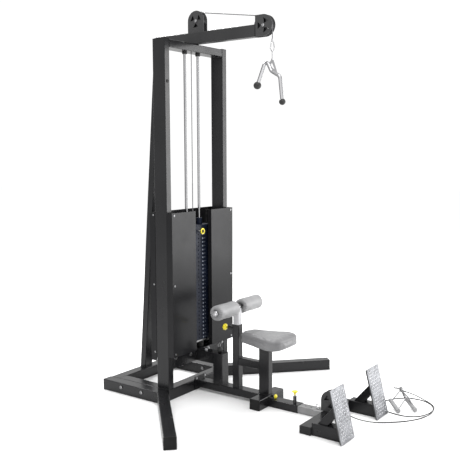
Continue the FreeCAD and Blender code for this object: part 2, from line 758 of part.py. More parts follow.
def thigh_pin():
    """Round knob behind the thigh post, on a plunger that points to the tower."""
    face = THIGH_Y + NARROW / 2
    plunger = rod(5.0, V(0, face - WALL + 0.2, THIGH_PIN_Z), V(0, face + 64, THIGH_PIN_Z))
    neck = rod(9.0, V(0, face + 49, THIGH_PIN_Z), V(0, face + 64, THIGH_PIN_Z))
    knob = round_knob(V(0, face + 76, THIGH_PIN_Z), Y_AXIS, THIGH_KNOB, 28.0, 9.0)
    return plunger.fuse(neck).fuse(knob)


def stop_bushing():
    """Bushing on the front of the seat's foot that guides the stop pin."""
    start = V(0, FOOT_FRONT, STOP_PIN_Z)
    end = V(0, FOOT_FRONT - STOP_BUSHING, STOP_PIN_Z)
    return barrel(6.7, start, end, STOP_PIN_RADIUS + 0.05)


def stop_pin():
    plunger = rod(STOP_PIN_RADIUS, V(0, FOOT_FRONT + 14, STOP_PIN_Z), V(0, FOOT_FRONT - 26, STOP_PIN_Z))
    return plunger.fuse(round_knob(V(0, FOOT_FRONT - 31, STOP_PIN_Z), V(0, -1, 0), 13.0, 16.0, 5.5))


def slider_barrel():
    return barrel(11.5, V(0, REACH_PIN_Y, NARROW), V(0, REACH_PIN_Y, REACH_BARREL_TOP), 5.05)


def slider_pin():
    """Mushroom knob on an upright plunger that locks the extension."""
    plunger = rod(5.0, V(0, REACH_PIN_Y, NARROW - WALL + 0.2), V(0, REACH_PIN_Y, REACH_BARREL_TOP + 8))
    neck = Part.makeCone(5.5, 9.0, 20.0, V(0, REACH_PIN_Y, REACH_BARREL_TOP + 6))
    knob = round_knob(V(0, REACH_PIN_Y, REACH_BARREL_TOP + 30.5), Z_AXIS, 20.5, 9.0, 3.0)
    return plunger.fuse(neck).fuse(knob)


# ------------------------------------------------------------ low row extension

def receiver():
    tube = tube_y(0, RECEIVER_FRONT, FOOT_REAR - WIDE, NARROW / 2, WIDE, NARROW)
    hole = rod(5.6, V(0, REACH_PIN_Y, NARROW - WALL - 2), V(0, REACH_PIN_Y, NARROW + 2))
    return tube.cut(hole)


def slider():
    middle = SLIDER_BASE + SLIDER_HEIGHT / 2
    tube = tube_y(0, CROSS_REAR, SLIDER_REAR, middle, SLIDER_WIDTH, SLIDER_HEIGHT, 2.5)
    for step in range(-3, 3):
        y = REACH_PIN_Y + 40 * step
        tube = tube.cut(rod(5.6, V(0, y, SLIDER_BASE + SLIDER_HEIGHT - 5), V(0, y, NARROW)))
    return tube


def foot_crossbar():
    """Floor tube across the front, closed by a cap at each end."""
    y = CROSS_REAR - WIDE / 2
    bar = tube_x(-CROSS_HALF, CROSS_HALF, y, NARROW / 2, WIDE, NARROW)
    for side in (-1, 1):
        ends = sorted((side * CROSS_HALF, side * (CROSS_HALF + 4)))
        bar = bar.fuse(tube_x(ends[0], ends[1], y, NARROW / 2, WIDE, NARROW, 0))
    bar.translate(V(FRAME_X, 0, 0))
    return bar


def foot_pair(left):
    """Left part of the foot frame and its mirror image."""
    pair = both(left)
    pair.translate(V(FRAME_X, 0, 0))
    return pair


def plate_normal():
    """Direction from a foot plate's back to its tread, up towards the user."""
    lean = math.radians(PLATE_LEAN)
    return V(0, -math.cos(lean), math.sin(lean))


def leaning_sheet(depth0, depth1, width, length, raise_by=0.0):
    """Sheet parallel to the foot plate, its depth counted back from the tread."""
    sheet = box(-width / 2, width / 2, depth0, depth1, raise_by, raise_by + length)
    sheet.rotate(V(0, 0, 0), X_AXIS, -PLATE_LEAN)
    sheet.translate(V(-PLATE_X, PLATE_FOOT_Y, (TREAD + BACKING) * math.sin(math.radians(PLATE_LEAN)) + 0.3))
    return sheet


def foot_tread():
    return leaning_sheet(0, TREAD, PLATE_WIDTH, PLATE_LENGTH)


def foot_backing():
    return leaning_sheet(TREAD, TREAD + BACKING, PLATE_WIDTH - 6, PLATE_LENGTH - 4, 2)


def plate_back_point():
    rise = (TREAD + BACKING) * math.sin(math.radians(PLATE_LEAN)) + 0.3
    foot = V(-PLATE_X, PLATE_FOOT_Y, rise)
    return foot.sub(plate_normal() * (TREAD + BACKING))


def foot_base():
    rear = CROSS_REAR - WIDE
    tube = tube_y(-PLATE_X, PLATE_FOOT_Y - 20, rear, WIDE / 2, WIDE, WIDE)
    return tube.cut(half_space(plate_back_point(), plate_normal()))


def foot_strut():
    """Square tube that props the foot plate from the base."""
    angle = math.radians(STRUT_ANGLE)
    middle = V(-PLATE_X, -1159, 111.5)
    stock = tube_z(0, 0, -200, 250, NARROW, NARROW)
    stock.rotate(V(0, 0, 0), X_AXIS, 90 - STRUT_ANGLE)
    stock.translate(middle)
    stock = stock.cut(half_space(plate_back_point(), plate_normal()))
    return stock.cut(box(-400, 0, -1400, -900, -200, WIDE))


def low_housing():
    """Side plates of the low pulley, and its bolt."""
    return Part.makeCompound([housing(side_plate(LOW_PULLEY, NARROW)), axle(LOW_PULLEY)])


# ------------------------------------------------------------------ lat handle

def wire_loop(corners, bend, wire):
    """Closed loop of round wire that follows a polygon with rounded corners."""
    edges = []
    arcs = []
    for index, corner in enumerate(corners):
        after = corners[(index + 1) % len(corners)]
        arcs.append(tangent_arc(corners[index - 1], corner, after, bend))
    for index, (start, middle, end) in enumerate(arcs):
        edges.append(Part.LineSegment(arcs[index - 1][2], start).toShape())
        edges.append(Part.Arc(start, middle, end).toShape())
    return sweep(Part.Wire(edges), wire)


def handle_cable():
    return rod(CABLE_RADIUS, V(0, HANDLE_Y, FRONT_PULLEY[1]), V(0, HANDLE_Y, CLIP_TOP + 14))


def lat_clip():
    """Sleeve on the cable's end and the snap hook below it."""
    sleeve = rod(6.5, V(0, HANDLE_Y, CLIP_TOP + 14), V(0, HANDLE_Y, CLIP_TOP - 6))
    low = CLIP_TOP - CLIP_LENGTH
    outline = ((-7, CLIP_TOP - 3), (-15, low + 18), (-8, low), (8, low), (15, low + 18), (7, CLIP_TOP - 3))
    hook = wire_loop([V(0, HANDLE_Y + across, z) for across, z in outline], 5.0, 3.5)
    return hook.fuse(sleeve)


def bar_hanger():
    """Straight shank with a swivel nut above the bar's saddle."""
    low = SADDLE_TOP + 0.2
    high = CLIP_TOP - CLIP_LENGTH
    shank = rod(3.5, V(0, HANDLE_Y, high - 3.6), V(0, HANDLE_Y, low))
    nut = rod(8.0, V(0, HANDLE_Y, low), V(0, HANDLE_Y, low + 9))
    return shank.fuse(nut)


def bar_points():
    """Bends of the pressdown bar, from one ball to the other."""
    return [V(0, HANDLE_Y + y, BAR_Z + z) for y, z in BAR_BENDS]


def bar_tube():
    points = bar_points()
    edges = []
    cursor = points[0]
    for before, corner, after, bend in zip(points, points[1:], points[2:], BAR_FILLETS):
        start, middle, end = tangent_arc(before, corner, after, bend)
        edges.append(Part.LineSegment(cursor, start).toShape())
        edges.append(Part.Arc(start, middle, end).toShape())
        cursor = end
    edges.append(Part.LineSegment(cursor, points[-1]).toShape())
    return sweep(Part.Wire(edges), BAR_RADIUS)


def bar_ball(index):
    """Rubber stop on one end of the bar."""
    points = bar_points()
    end = points[index]
    inner = points[1] if index == 0 else points[-2]
    along = end.sub(inner)
    along.normalize()
    ball = Part.makeSphere(BALL_RADII[index], end.add(along * 6))
    stub = rod(BAR_RADIUS, inner, end)
    return ball.cut(stub)


def pressdown_bar():
    """Bent bar and the plate welded to its middle that it hangs by."""
    profile = [V(-4, HANDLE_Y + y, BAR_Z + z) for y, z in SADDLE_OUTLINE]
    plate = Part.Face(Part.makePolygon(profile + profile[:1])).extrude(V(8, 0, 0))
    window = [V(-9, HANDLE_Y + y, BAR_Z + z) for y, z in SADDLE_WINDOW]
    plate = plate.cut(Part.Face(Part.makePolygon(window + window[:1])).extrude(V(18, 0, 0)))
    return bar_tube().fuse(plate)


# ---------------------------------------------------------------- floor cable

def floor_cable():
    points = [V(x, y, z) for x, y, z in CORD_ROUTE]
    solid, length, radii = cord(points, CORD_RADIUS)
    print("floor cable length", round(length), "radii", [round(r) for r in radii])
    print("volume ratio", round(solid.Volume / (math.pi * CORD_RADIUS ** 2 * length), 4))
    return solid


def bent_rod(points, radius):
    """Thin rod with sharp bends rounded by a ball at each corner."""
    shape = rod(radius, points[0], points[1])
    for start, end in zip(points[1:], points[2:]):
        shape = shape.fuse(Part.makeSphere(radius, start)).fuse(rod(radius, start, end))
    return shape.removeSplitter()


def row_hub():
    x, y, z = HUB
    return rod(11.0, V(x, y, z - 9), V(x, y, z + 17))


def row_grip(index):
    return rod(GRIP_RADIUS, V(*GRIP_TOPS[index]), V(*GRIP_FEET[index]))


def row_frame():
    """Rod loops from the hub to both ends of each grip."""
    shape = row_hub()
    for foot, shoulder, top in zip(GRIP_FEET, SHOULDERS, GRIP_TOPS):
        inward = V(*top).sub(V(*foot)) * 0.1
        stops = [V(*foot).add(inward), V(*shoulder), V(*HUB), V(*top).sub(inward)]
        shape = shape.fuse(bent_rod(stops, ROW_ROD))
    return shape.cut([row_grip(0), row_grip(1)])


def row_fittings():
    """Crimp on the cable's end at the hub, and a snap hook beyond the hub."""
    end = V(*CORD_ROUTE[-1])
    along = end.sub(V(*CORD_ROUTE[-2]))
    along.normalize()
    sleeve = rod(5.5, end, end.add(along * 30)).cut(row_frame())
    x, y, z = HUB
    outline = ((-6, 14), (-12, 40), (-7, 57), (7, 57), (12, 40), (6, 14))
    hook = wire_loop([V(x + across + 0.3 * ahead, y + ahead, z + 4) for across, ahead in outline], 4.5, 2.8)
    return Part.makeCompound([sleeve, hook])


def frame_caps():
    """Plastic plugs in the open ends of the frame's tubes."""
    caps = [leg_cap(), mirrored(leg_cap()), rail_cap(), mirrored(rail_cap()),
            upright_cap(), mirrored(upright_cap()), boom_cap()]
    for side in (-1, 1):
        ends = sorted((side * FOOT_HALF, side * (FOOT_HALF + 4)))
        caps.append(tube_x(ends[0], ends[1], FOOT_REAR - WIDE / 2, BEAM_TOP / 2, WIDE, BEAM_TOP, 0))
    return Part.makeCompound(caps)


def frame_bolts():
    """Bolt heads of the base, screws of the shields and the top pulleys' bolts."""
    return Part.makeCompound([base_bolts(), shield_screws(), axle(REAR_PULLEY), axle(FRONT_PULLEY)])


def save_tower():
    inner_x = -HALF_WIDTH + WIDE / 2
    front = tube_x(-HALF_WIDTH, HALF_WIDTH, WIDE / 2, WIDE / 2, WIDE, WIDE)
    rear = tube_x(-HALF_WIDTH, HALF_WIDTH, BASE_DEPTH - WIDE / 2, WIDE / 2, WIDE, WIDE)
    save("base_rails", both(side_rail()))
    save("front_legs", both(leg()))
    save("tower_rails", both(tube_y(inner_x, WIDE, BASE_DEPTH - WIDE, WIDE / 2, WIDE, WIDE)))
    save("cross_beams", Part.makeCompound([front, rear]))
    save("frame_caps", frame_caps())
    save("frame_bolts", frame_bolts())
    save("uprights", both(upright()))
    save("top_crossbar", top_crossbar())
    save("stack_shelf", stack_shelf())
    save("mast", mast())
    save("boom", boom())


def save_top_pulleys():
    rear = housing(side_plate(REAR_PULLEY, BOOM_TOP))
    front = housing(side_plate(FRONT_PULLEY, 0, BOOM_FRONT))
    save("pulley_housings", Part.makeCompound([rear, front]))
    save("rear_pulley", pulley(REAR_PULLEY))
    save("front_pulley", pulley(FRONT_PULLEY))
    save("top_cable", top_cable())
    save("handle_cable", handle_cable())
    save("lat_clip", lat_clip())
    save("bar_hanger", bar_hanger())
    save("pressdown_bar", pressdown_bar())
    save("bar_balls", Part.makeCompound([bar_ball(0), bar_ball(-1)]))


def save_stack():
    rubbers = [part(x) for x in (-ROD_X, ROD_X) for part in (rod_collar, rod_cushion)]
    save("guide_rods", Part.makeCompound([guide_rod(-ROD_X), guide_rod(ROD_X)]))
    save("rod_rubbers", Part.makeCompound(rubbers))
    save("weight_plates", plate_block(STACK_BASE, FIXED_PLATES))
    save("lifted_plate", plate_block(STACK_BASE + FIXED_PLATES * PLATE_PITCH, 1))
    save("head_plate", head_plate())
    save("selector_stem", selector_stem())
    save("stack_cable", stack_cable())
    save("selector_pin", selector_pin())
    save("shield_front_left", front_shield(-HALF_WIDTH, SLOT_LEFT))
    save("shield_front_right", front_shield(HALF_WIDTH, SLOT_RIGHT))
    save("shield_rear", rear_shield())


def save_seat():
    save("seat_beam", seat_beam())
    save("seat_foot", seat_foot())
    save("stack_post", stack_post())
    save("thigh_post", thigh_post())
    save("seat_post", seat_post())
    save("seat_brace", seat_brace())
    save("seat_board", seat_board())
    save("seat_cushion", seat_cushion())
    save("thigh_tube", thigh_tube())
    save("thigh_axle", thigh_axle())
    save_pair("roller", roller())
    save("pin_barrels", Part.makeCompound([thigh_barrel(), slider_barrel()]))
    save("thigh_pin", thigh_pin())
    save("stop_bushing", stop_bushing())
    save("stop_pin", stop_pin())
    save("slider_pin", slider_pin())


def save_low_row():
    save("receiver", receiver())
    save("slider", slider())
    save("foot_crossbar", foot_crossbar())
    save("foot_bases", foot_pair(foot_base()))
    save("foot_struts", foot_pair(foot_strut()))
    save("foot_plates", foot_pair(Part.makeCompound([foot_tread(), foot_backing()])))
    save("low_housing", low_housing())
    save("low_pulley", pulley(LOW_PULLEY))
    save("floor_cable", floor_cable())
    save("row_frame", row_frame())
    save("row_grips", Part.makeCompound([row_grip(0), row_grip(1)]))
    save("row_fittings", row_fittings())


save_tower()
save_top_pulleys()
save_stack()
save_seat()
save_low_row()
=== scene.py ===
"""Looks of the lat pulldown machine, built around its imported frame.

Lengths are in metres, in the frame's own axes: +Z up, +Y to the rear of the
tower, -Y towards the low row foot plates.
"""
import math
import random

import bmesh
import bpy
from mathutils import Matrix, Vector
from mathutils.bvhtree import BVHTree


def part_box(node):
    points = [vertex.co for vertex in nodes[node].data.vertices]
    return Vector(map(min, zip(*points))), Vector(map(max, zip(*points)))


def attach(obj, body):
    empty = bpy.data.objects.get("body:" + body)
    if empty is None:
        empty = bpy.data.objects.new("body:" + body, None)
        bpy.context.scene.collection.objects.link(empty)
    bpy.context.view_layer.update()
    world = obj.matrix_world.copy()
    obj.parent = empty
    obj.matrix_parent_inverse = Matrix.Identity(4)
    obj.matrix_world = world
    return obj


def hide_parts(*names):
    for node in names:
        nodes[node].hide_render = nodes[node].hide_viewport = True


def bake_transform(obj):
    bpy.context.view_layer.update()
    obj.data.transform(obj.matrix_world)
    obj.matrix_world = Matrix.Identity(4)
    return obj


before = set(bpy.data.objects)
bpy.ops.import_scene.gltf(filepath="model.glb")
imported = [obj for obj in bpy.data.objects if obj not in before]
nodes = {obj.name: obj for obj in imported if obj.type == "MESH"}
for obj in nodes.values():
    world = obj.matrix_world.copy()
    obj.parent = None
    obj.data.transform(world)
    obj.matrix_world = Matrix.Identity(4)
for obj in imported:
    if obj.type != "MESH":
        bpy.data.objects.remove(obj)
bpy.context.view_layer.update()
scene = bpy.context.scene

X = Vector((1, 0, 0))
Y = Vector((0, 1, 0))
Z = Vector((0, 0, 1))

# Low row cable: the route of its CAD tube, and its thickness
CORD_RADIUS = 0.003
LOOP = 0.0032
TOWER_FRONT = 0.3715        # y of the tower's front face
CORD_ROUTE = (
    (0, -1.0982, 0.118), (0, -1.102, 0.086), (0.005, -1.128, 0.056), (0.022, -1.172, 0.034),
    (0.048, -1.222, 0.017), (0.084, -1.276, 0.006), (0.128, -1.332, LOOP), (0.180, -1.392, LOOP),
    (0.238, -1.442, LOOP), (0.300, -1.480, LOOP), (0.366, -1.503, LOOP), (0.436, -1.512, LOOP),
    (0.506, -1.504, LOOP), (0.570, -1.478, LOOP), (0.622, -1.430, LOOP), (0.649, -1.364, LOOP),
    (0.640, -1.296, LOOP), (0.600, -1.238, LOOP), (0.542, -1.196, LOOP), (0.476, -1.170, LOOP),
    (0.406, -1.166, LOOP), (0.354, -1.200, LOOP), (0.322, -1.252, LOOP), (0.306, -1.310, LOOP),
    (0.298, -1.366, LOOP), (0.310, -1.418, LOOP), (0.344, -1.466, LOOP), (0.388, -1.498, 0.0075),
    (0.438, -1.518, 0.015), (0.490, -1.520, 0.027), (0.513, -1.482, 0.043), (0.510, -1.434, 0.060),
    (0.508, -1.390, 0.076), (0.498, -1.355, 0.088), (0.480, -1.328, 0.098),
)
GRIP_TOPS = ((0.404, -1.254, 0.050), (0.482, -1.332, 0.050))
GRIP_FEET = ((0.330, -1.341, 0.0155), (0.408, -1.422, 0.0155))

# Stack and plates
STACK_BASE = 0.348
PLATE_PITCH = 0.027
FIXED_PLATES = 28           # plates that stay down when the top plate is lifted

# Foot plates, as they lean on their struts
PLATE_LEAN = math.radians(14)
PLATE_SIZE = (0.166, 0.314)
PLATE_FOOT_Y = -1.283 + TOWER_FRONT
PLATE_FOOT_Z = 0.0032
TREAD_SHEET = 0.004

# Half sides of the tube sections
NARROW = 0.0254
WIDE = 0.0381
TALL = 0.0508

STITCH_STEP = 0.0035
PAD_FRAMES = 20             # frames of air pressure on a soft pad
# Painted reflection on chrome: base colour levels by facing angle, for a studio's light and dark bands.
PAINTED_REFLECTION_BANDS = ((0.0, 0.74), (0.09, 0.66), (0.20, 0.30), (0.34, 0.16), (0.50, 0.55), (0.72, 0.30),
                (1.0, 0.06))


# ------------------------------------------------------------------ materials

class Shading:
    """A principled material and short ways to add texture to it."""

    def __init__(self, name, color, roughness, metallic=0.0):
        self.material = bpy.data.materials.new(name)
        self.material.use_nodes = True
        self.tree = self.material.node_tree
        self.shader = self.tree.nodes["Principled BSDF"]
        self.set("Base Color", (*color, 1.0))
        self.set("Roughness", roughness)
        self.set("Metallic", metallic)
        coords = self.tree.nodes.new("ShaderNodeTexCoord")
        self.coords = coords.outputs["Object"]
        self.height = None

    def set(self, socket, value):
        self.shader.inputs[socket].default_value = value

    def mapped(self, stretch):
        mapping = self.tree.nodes.new("ShaderNodeMapping")
        mapping.inputs["Scale"].default_value = stretch
        self.tree.links.new(self.coords, mapping.inputs["Vector"])
        return mapping.outputs["Vector"]

    def noise(self, scale, detail=4.0, stretch=(1, 1, 1)):
        node = self.tree.nodes.new("ShaderNodeTexNoise")
        node.inputs["Scale"].default_value = scale
        node.inputs["Detail"].default_value = detail
        self.tree.links.new(self.mapped(stretch), node.inputs["Vector"])
        return node.outputs["Fac"]

    def cells(self, scale, stretch=(1, 1, 1)):
        node = self.tree.nodes.new("ShaderNodeTexVoronoi")
        node.inputs["Scale"].default_value = scale
        self.tree.links.new(self.mapped(stretch), node.inputs["Vector"])
        return node.outputs["Distance"]

    def spread(self, value, low, high, start=0.3, end=0.7):
        node = self.tree.nodes.new("ShaderNodeMapRange")
        node.inputs["From Min"].default_value = start
        node.inputs["From Max"].default_value = end
        node.inputs["To Min"].default_value = low
        node.inputs["To Max"].default_value = high
        self.tree.links.new(value, node.inputs["Value"])
        return node.outputs["Result"]

    def tint(self, value, dark, light, start=0.3, end=0.7):
        ramp = self.tree.nodes.new("ShaderNodeValToRGB")
        ramp.color_ramp.elements[0].position = start
        ramp.color_ramp.elements[0].color = (*dark, 1.0)
        ramp.color_ramp.elements[1].position = end
        ramp.color_ramp.elements[1].color = (*light, 1.0)
        self.tree.links.new(value, ramp.inputs["Fac"])
        self.tree.links.new(ramp.outputs["Color"], self.shader.inputs["Base Color"])

    def polish(self, value, low, high, start=0.3, end=0.7):
        rough = self.spread(value, low, high, start, end)
        self.tree.links.new(rough, self.shader.inputs["Roughness"])

    def bands(self, stops):
        """Painted reflection: light and dark bands by angle in the base colour, as polished round metal shows
        a studio.
        """
        weight = self.tree.nodes.new("ShaderNodeLayerWeight")
        weight.inputs["Blend"].default_value = 0.5
        ramp = self.tree.nodes.new("ShaderNodeValToRGB")
        elements = ramp.color_ramp.elements
        while len(elements) < len(stops):
            elements.new(0.5)
        for element, (position, level) in zip(elements, stops):
            element.position = position
            element.color = (level, level, level * 1.02, 1.0)
        self.tree.links.new(weight.outputs["Facing"], ramp.inputs["Fac"])
        self.tree.links.new(ramp.outputs["Color"], self.shader.inputs["Base Color"])

    def bump(self, value, distance, strength=1.0):
        node = self.tree.nodes.new("ShaderNodeBump")
        node.inputs["Distance"].default_value = distance
        node.inputs["Strength"].default_value = strength
        self.tree.links.new(value, node.inputs["Height"])
        if self.height:
            self.tree.links.new(self.height, node.inputs["Normal"])
        self.height = node.outputs["Normal"]
        self.tree.links.new(self.height, self.shader.inputs["Normal"])


def powder_coat(name, dark, light, low, high, gloss):
    """Sprayed and baked coating: faint orange peel and handling marks."""
    look = Shading(name, dark, low)
    look.tint(look.noise(5.0, 4.0), dark, light, 0.2, 0.8)
    look.polish(look.noise(11.0, 3.0), low, high, 0.15, 0.85)
    look.bump(look.noise(620.0, 1.0), 0.00004, 0.25)
    look.set("Specular IOR Level", gloss)
    return look.material


def bright_metal(name, dark, light, low, high, stretch=(1, 1, 1)):
    """Plated or polished metal with fine drawn marks and faint smudges."""
    look = Shading(name, dark, low, metallic=1.0)
    look.tint(look.noise(9.0, 6.0), dark, light)
    look.polish(look.noise(60.0, 6.0, stretch), low, high)
    look.bump(look.noise(420.0, 3.0, stretch), 0.00008, 0.4)
    return look.material


def chrome(name, low, high, dim=1.0):
    """Chrome plate with the dark and light bands of a studio across its curves, as a painted reflection in
    its base colour.
    """
    look = Shading(name, (0.7, 0.7, 0.7), low, metallic=1.0)
    look.bands([(position, level * dim) for position, level in PAINTED_REFLECTION_BANDS])
    look.polish(look.noise(60.0, 6.0), low, high)
    look.bump(look.noise(420.0, 3.0), 0.00006, 0.4)
    return look.material


def silver_paint(name, dark, light):
    look = Shading(name, dark, 0.32, metallic=0.55)
    look.tint(look.noise(12.0, 5.0, (1, 1, 0.2)), dark, light)
    look.polish(look.noise(30.0, 6.0), 0.26, 0.40)
    look.bump(look.noise(900.0, 2.0), 0.00012, 0.3)
    return look.material


def vinyl(name, dark, light):
    """Upholstery vinyl with a pebbled grain, soft creases and a slight sheen."""
    look = Shading(name, dark, 0.42)
    look.tint(look.noise(9.0, 6.0), dark, light)
    look.polish(look.noise(35.0, 5.0), 0.34, 0.50)
    look.bump(look.cells(780.0), 0.00035, 0.35)
    look.bump(look.noise(26.0, 3.0, (1.0, 0.45, 1.0)), 0.0016, 0.30)
    look.set("Sheen Weight", 0.1)
    look.set("Sheen Roughness", 0.4)
    return look.material


def tread_sheet(name, lean, foot_y, foot_z, sheet):
    """Bright tread sheet over a black backing, told apart by depth below its face."""
    look = Shading(name, (0.3, 0.3, 0.31), 0.4)
    depth = look.tree.nodes.new("ShaderNodeVectorMath")
    depth.operation = "DOT_PRODUCT"
    depth.inputs[1].default_value = (0.0, -math.cos(lean), math.sin(lean))
    look.tree.links.new(look.coords, depth.inputs[0])
    face = -foot_y * math.cos(lean) + foot_z * math.sin(lean)
    front = look.spread(depth.outputs["Value"], 0.0, 1.0, face - sheet - 0.0003, face - sheet + 0.0001)
    grain = look.spread(look.noise(16.0, 6.0), 0.35, 1.0, 0.25, 0.75)
    both = look.tree.nodes.new("ShaderNodeMath")
    both.operation = "MULTIPLY"
    look.tree.links.new(front, both.inputs[0])
    look.tree.links.new(grain, both.inputs[1])
    look.tint(both.outputs["Value"], (0.010, 0.010, 0.011), (0.27, 0.275, 0.29), 0.1, 0.95)
    look.tree.links.new(front, look.shader.inputs["Metallic"])
    look.polish(look.noise(40.0, 6.0), 0.32, 0.50)
    look.bump(look.noise(420.0, 3.0), 0.00006, 0.4)
    return look.material


def plastic(name, dark, light, low, high, grain=600.0, coat=0.0, gloss=0.5):
    look = Shading(name, dark, low)
    look.tint(look.noise(25.0, 4.0), dark, light)
    look.polish(look.noise(60.0, 5.0), low, high)
    look.bump(look.noise(grain, 2.0), 0.00015, 0.3)
    look.set("Coat Weight", coat)
    look.set("Specular IOR Level", gloss)
    return look.material


def cable_jacket(name, dark, light):
    """Clear coated wire rope: the strands' lay shows faintly through."""
    look = Shading(name, dark, 0.3)
    look.tint(look.noise(90.0, 5.0), dark, light)
    look.polish(look.noise(120.0, 4.0), 0.25, 0.42)
    look.bump(look.noise(1400.0, 3.0), 0.00015, 0.4)
    look.set("Specular IOR Level", 0.3)
    return look.material


def stack_paint(name):
    """Dark slate enamel on cast plates, a little cloudy."""
    look = Shading(name, (0.012, 0.015, 0.024), 0.35)
    look.tint(look.noise(14.0, 7.0), (0.004, 0.006, 0.013), (0.010, 0.014, 0.028))
    look.polish(look.noise(40.0, 6.0), 0.28, 0.48)
    look.set("Specular IOR Level", 0.12)
    look.bump(look.noise(260.0, 5.0), 0.0004, 0.4)
    return look.material


def foam_rubber(name, dark, light):
    look = Shading(name, dark, 0.7)
    look.tint(look.noise(60.0, 6.0), dark, light)
    look.polish(look.noise(90.0, 5.0), 0.5, 0.75)
    look.bump(look.cells(900.0), 0.0003, 0.4)
    return look.material


def painted_board(name):
    """Plywood painted black, the grain still felt along its length."""
    look = Shading(name, (0.02, 0.019, 0.018), 0.6)
    grain = look.noise(30.0, 8.0, (1.0, 0.12, 6.0))
    look.tint(grain, (0.014, 0.013, 0.012), (0.045, 0.042, 0.038))
    look.polish(grain, 0.5, 0.75)
    look.bump(grain, 0.0005, 0.5)
    return look.material


FRAME_BLACK = powder_coat("black powder coat", (0.007, 0.007, 0.008), (0.013, 0.013, 0.014),
                          0.20, 0.30, 0.26)
SHIELD_GREY = powder_coat("shield powder coat", (0.009, 0.009, 0.010), (0.015, 0.015, 0.016),
                          0.20, 0.27, 0.12)
BOOM_GREY = powder_coat("boom powder coat", (0.022, 0.022, 0.023), (0.033, 0.033, 0.034),
                        0.28, 0.38, 0.25)
HOUSING_GREY = powder_coat("housing powder coat", (0.034, 0.034, 0.035), (0.050, 0.050, 0.051),
                           0.34, 0.46, 0.25)
STACK_SLATE = stack_paint("stack enamel")
CHROME = chrome("chrome", 0.08, 0.16)
ROD_CHROME = chrome("guide rod chrome", 0.10, 0.18, 0.72)
STEEL = chrome("zinc steel", 0.22, 0.38, 0.7)
BAR_CHROME = chrome("brushed bar chrome", 0.18, 0.30, 0.85)
# Handle chrome: its painted reflection bands dimmed to 0.45.
DARK_CHROME = chrome("dimmed handle chrome", 0.12, 0.26, 0.45)
BLACK_STEEL = bright_metal("black oxide steel", (0.05, 0.05, 0.052), (0.10, 0.10, 0.102), 0.32, 0.48)
SILVER = silver_paint("silver paint", (0.39, 0.39, 0.40), (0.49, 0.49, 0.50))
ZINC = silver_paint("dull zinc paint", (0.15, 0.15, 0.152), (0.25, 0.25, 0.252))
TREAD = tread_sheet("tread plate", PLATE_LEAN, PLATE_FOOT_Y, PLATE_FOOT_Z, TREAD_SHEET)
# Bars lighter than the sheet between them: painted highlight on the raised bars, painted shade between them.
TREAD_BARS = bright_metal("tread bars", (0.30, 0.305, 0.32), (0.50, 0.505, 0.52), 0.22, 0.36)
VINYL = vinyl("grey vinyl", (0.140, 0.140, 0.144), (0.182, 0.182, 0.186))
ROLLER_VINYL = vinyl("light grey vinyl", (0.225, 0.225, 0.23), (0.300, 0.300, 0.305))
THREAD = plastic("grey thread", (0.20, 0.20, 0.205), (0.27, 0.27, 0.275), 0.6, 0.8, 1500.0)
YELLOW = plastic("yellow plastic", (0.80, 0.66, 0.012), (0.88, 0.76, 0.03), 0.25, 0.38, 700.0, 0.3)
CAP_BLACK = plastic("black cap plastic", (0.005, 0.005, 0.005), (0.010, 0.010, 0.010), 0.36, 0.50, gloss=0.15)
PULLEY_BLACK = plastic("black pulley plastic", (0.010, 0.010, 0.011), (0.018, 0.018, 0.02),
                       0.28, 0.45, 500.0, 0.2)
TAG_LIGHT = plastic("light tag plastic", (0.17, 0.19, 0.23), (0.26, 0.28, 0.33), 0.4, 0.6)
TAG_DARK = plastic("dark tag plastic", (0.05, 0.06, 0.075), (0.09, 0.10, 0.12), 0.4, 0.6)
RUBBER = foam_rubber("black rubber", (0.010, 0.010, 0.010), (0.022, 0.022, 0.022))
GRIP = foam_rubber("grey grip rubber", (0.25, 0.25, 0.255), (0.37, 0.37, 0.375))
CABLE = cable_jacket("grey cable jacket", (0.10, 0.10, 0.105), (0.17, 0.17, 0.175))
DARK_CABLE = cable_jacket("dark cable jacket", (0.006, 0.006, 0.007), (0.014, 0.014, 0.015))
BOARD = painted_board("black board")

NODE_LOOKS = (
    (FRAME_BLACK, "base_rails front_legs tower_rails cross_beams uprights top_crossbar stack_shelf mast"),
    (FRAME_BLACK, "seat_beam seat_foot stack_post thigh_post seat_post seat_brace stop_bushing receiver"),
    (BOOM_GREY, "boom"),
    (FRAME_BLACK, "foot_crossbar foot_bases foot_struts"),
    (SHIELD_GREY, "shield_front_left shield_front_right shield_rear"),
    (HOUSING_GREY, "pulley_housings low_housing"),
    (STACK_SLATE, "weight_plates lifted_plate head_plate"),
    (ROD_CHROME, "guide_rods"),
    (CHROME, "lat_clip bar_hanger"),
    (DARK_CHROME, "row_frame row_fittings"),
    (BAR_CHROME, "pressdown_bar thigh_axle"),
    (STEEL, "frame_bolts selector_stem"),
    (BLACK_STEEL, "pin_barrels"),
    (SILVER, "thigh_tube"),
    (ZINC, "slider"),
    (TREAD, "foot_plates"),
    (CAP_BLACK, "frame_caps"),
    (PULLEY_BLACK, "rear_pulley front_pulley low_pulley"),
    (RUBBER, "rod_rubbers bar_balls"),
    (CABLE, "top_cable"),
    (BOARD, "seat_board"),
)


def paint(obj, material):
    obj.data.materials.clear()
    obj.data.materials.append(material)


def paint_nodes():
    for material, names in NODE_LOOKS:
        for name in names.split():
            paint(nodes[name], material)


# -------------------------------------------------------------- mesh building

def finish_mesh(name, bm, material, smooth=True):
    name = name.replace(" ", "_")
    mesh = bpy.data.meshes.new(name)
    bmesh.ops.recalc_face_normals(bm, faces=bm.faces)
    bm.to_mesh(mesh)
    bm.free()
    obj = bpy.data.objects.new(name, mesh)
    scene.collection.objects.link(obj)
    paint(obj, material)
    for face in mesh.polygons:
        face.use_smooth = smooth
    return obj


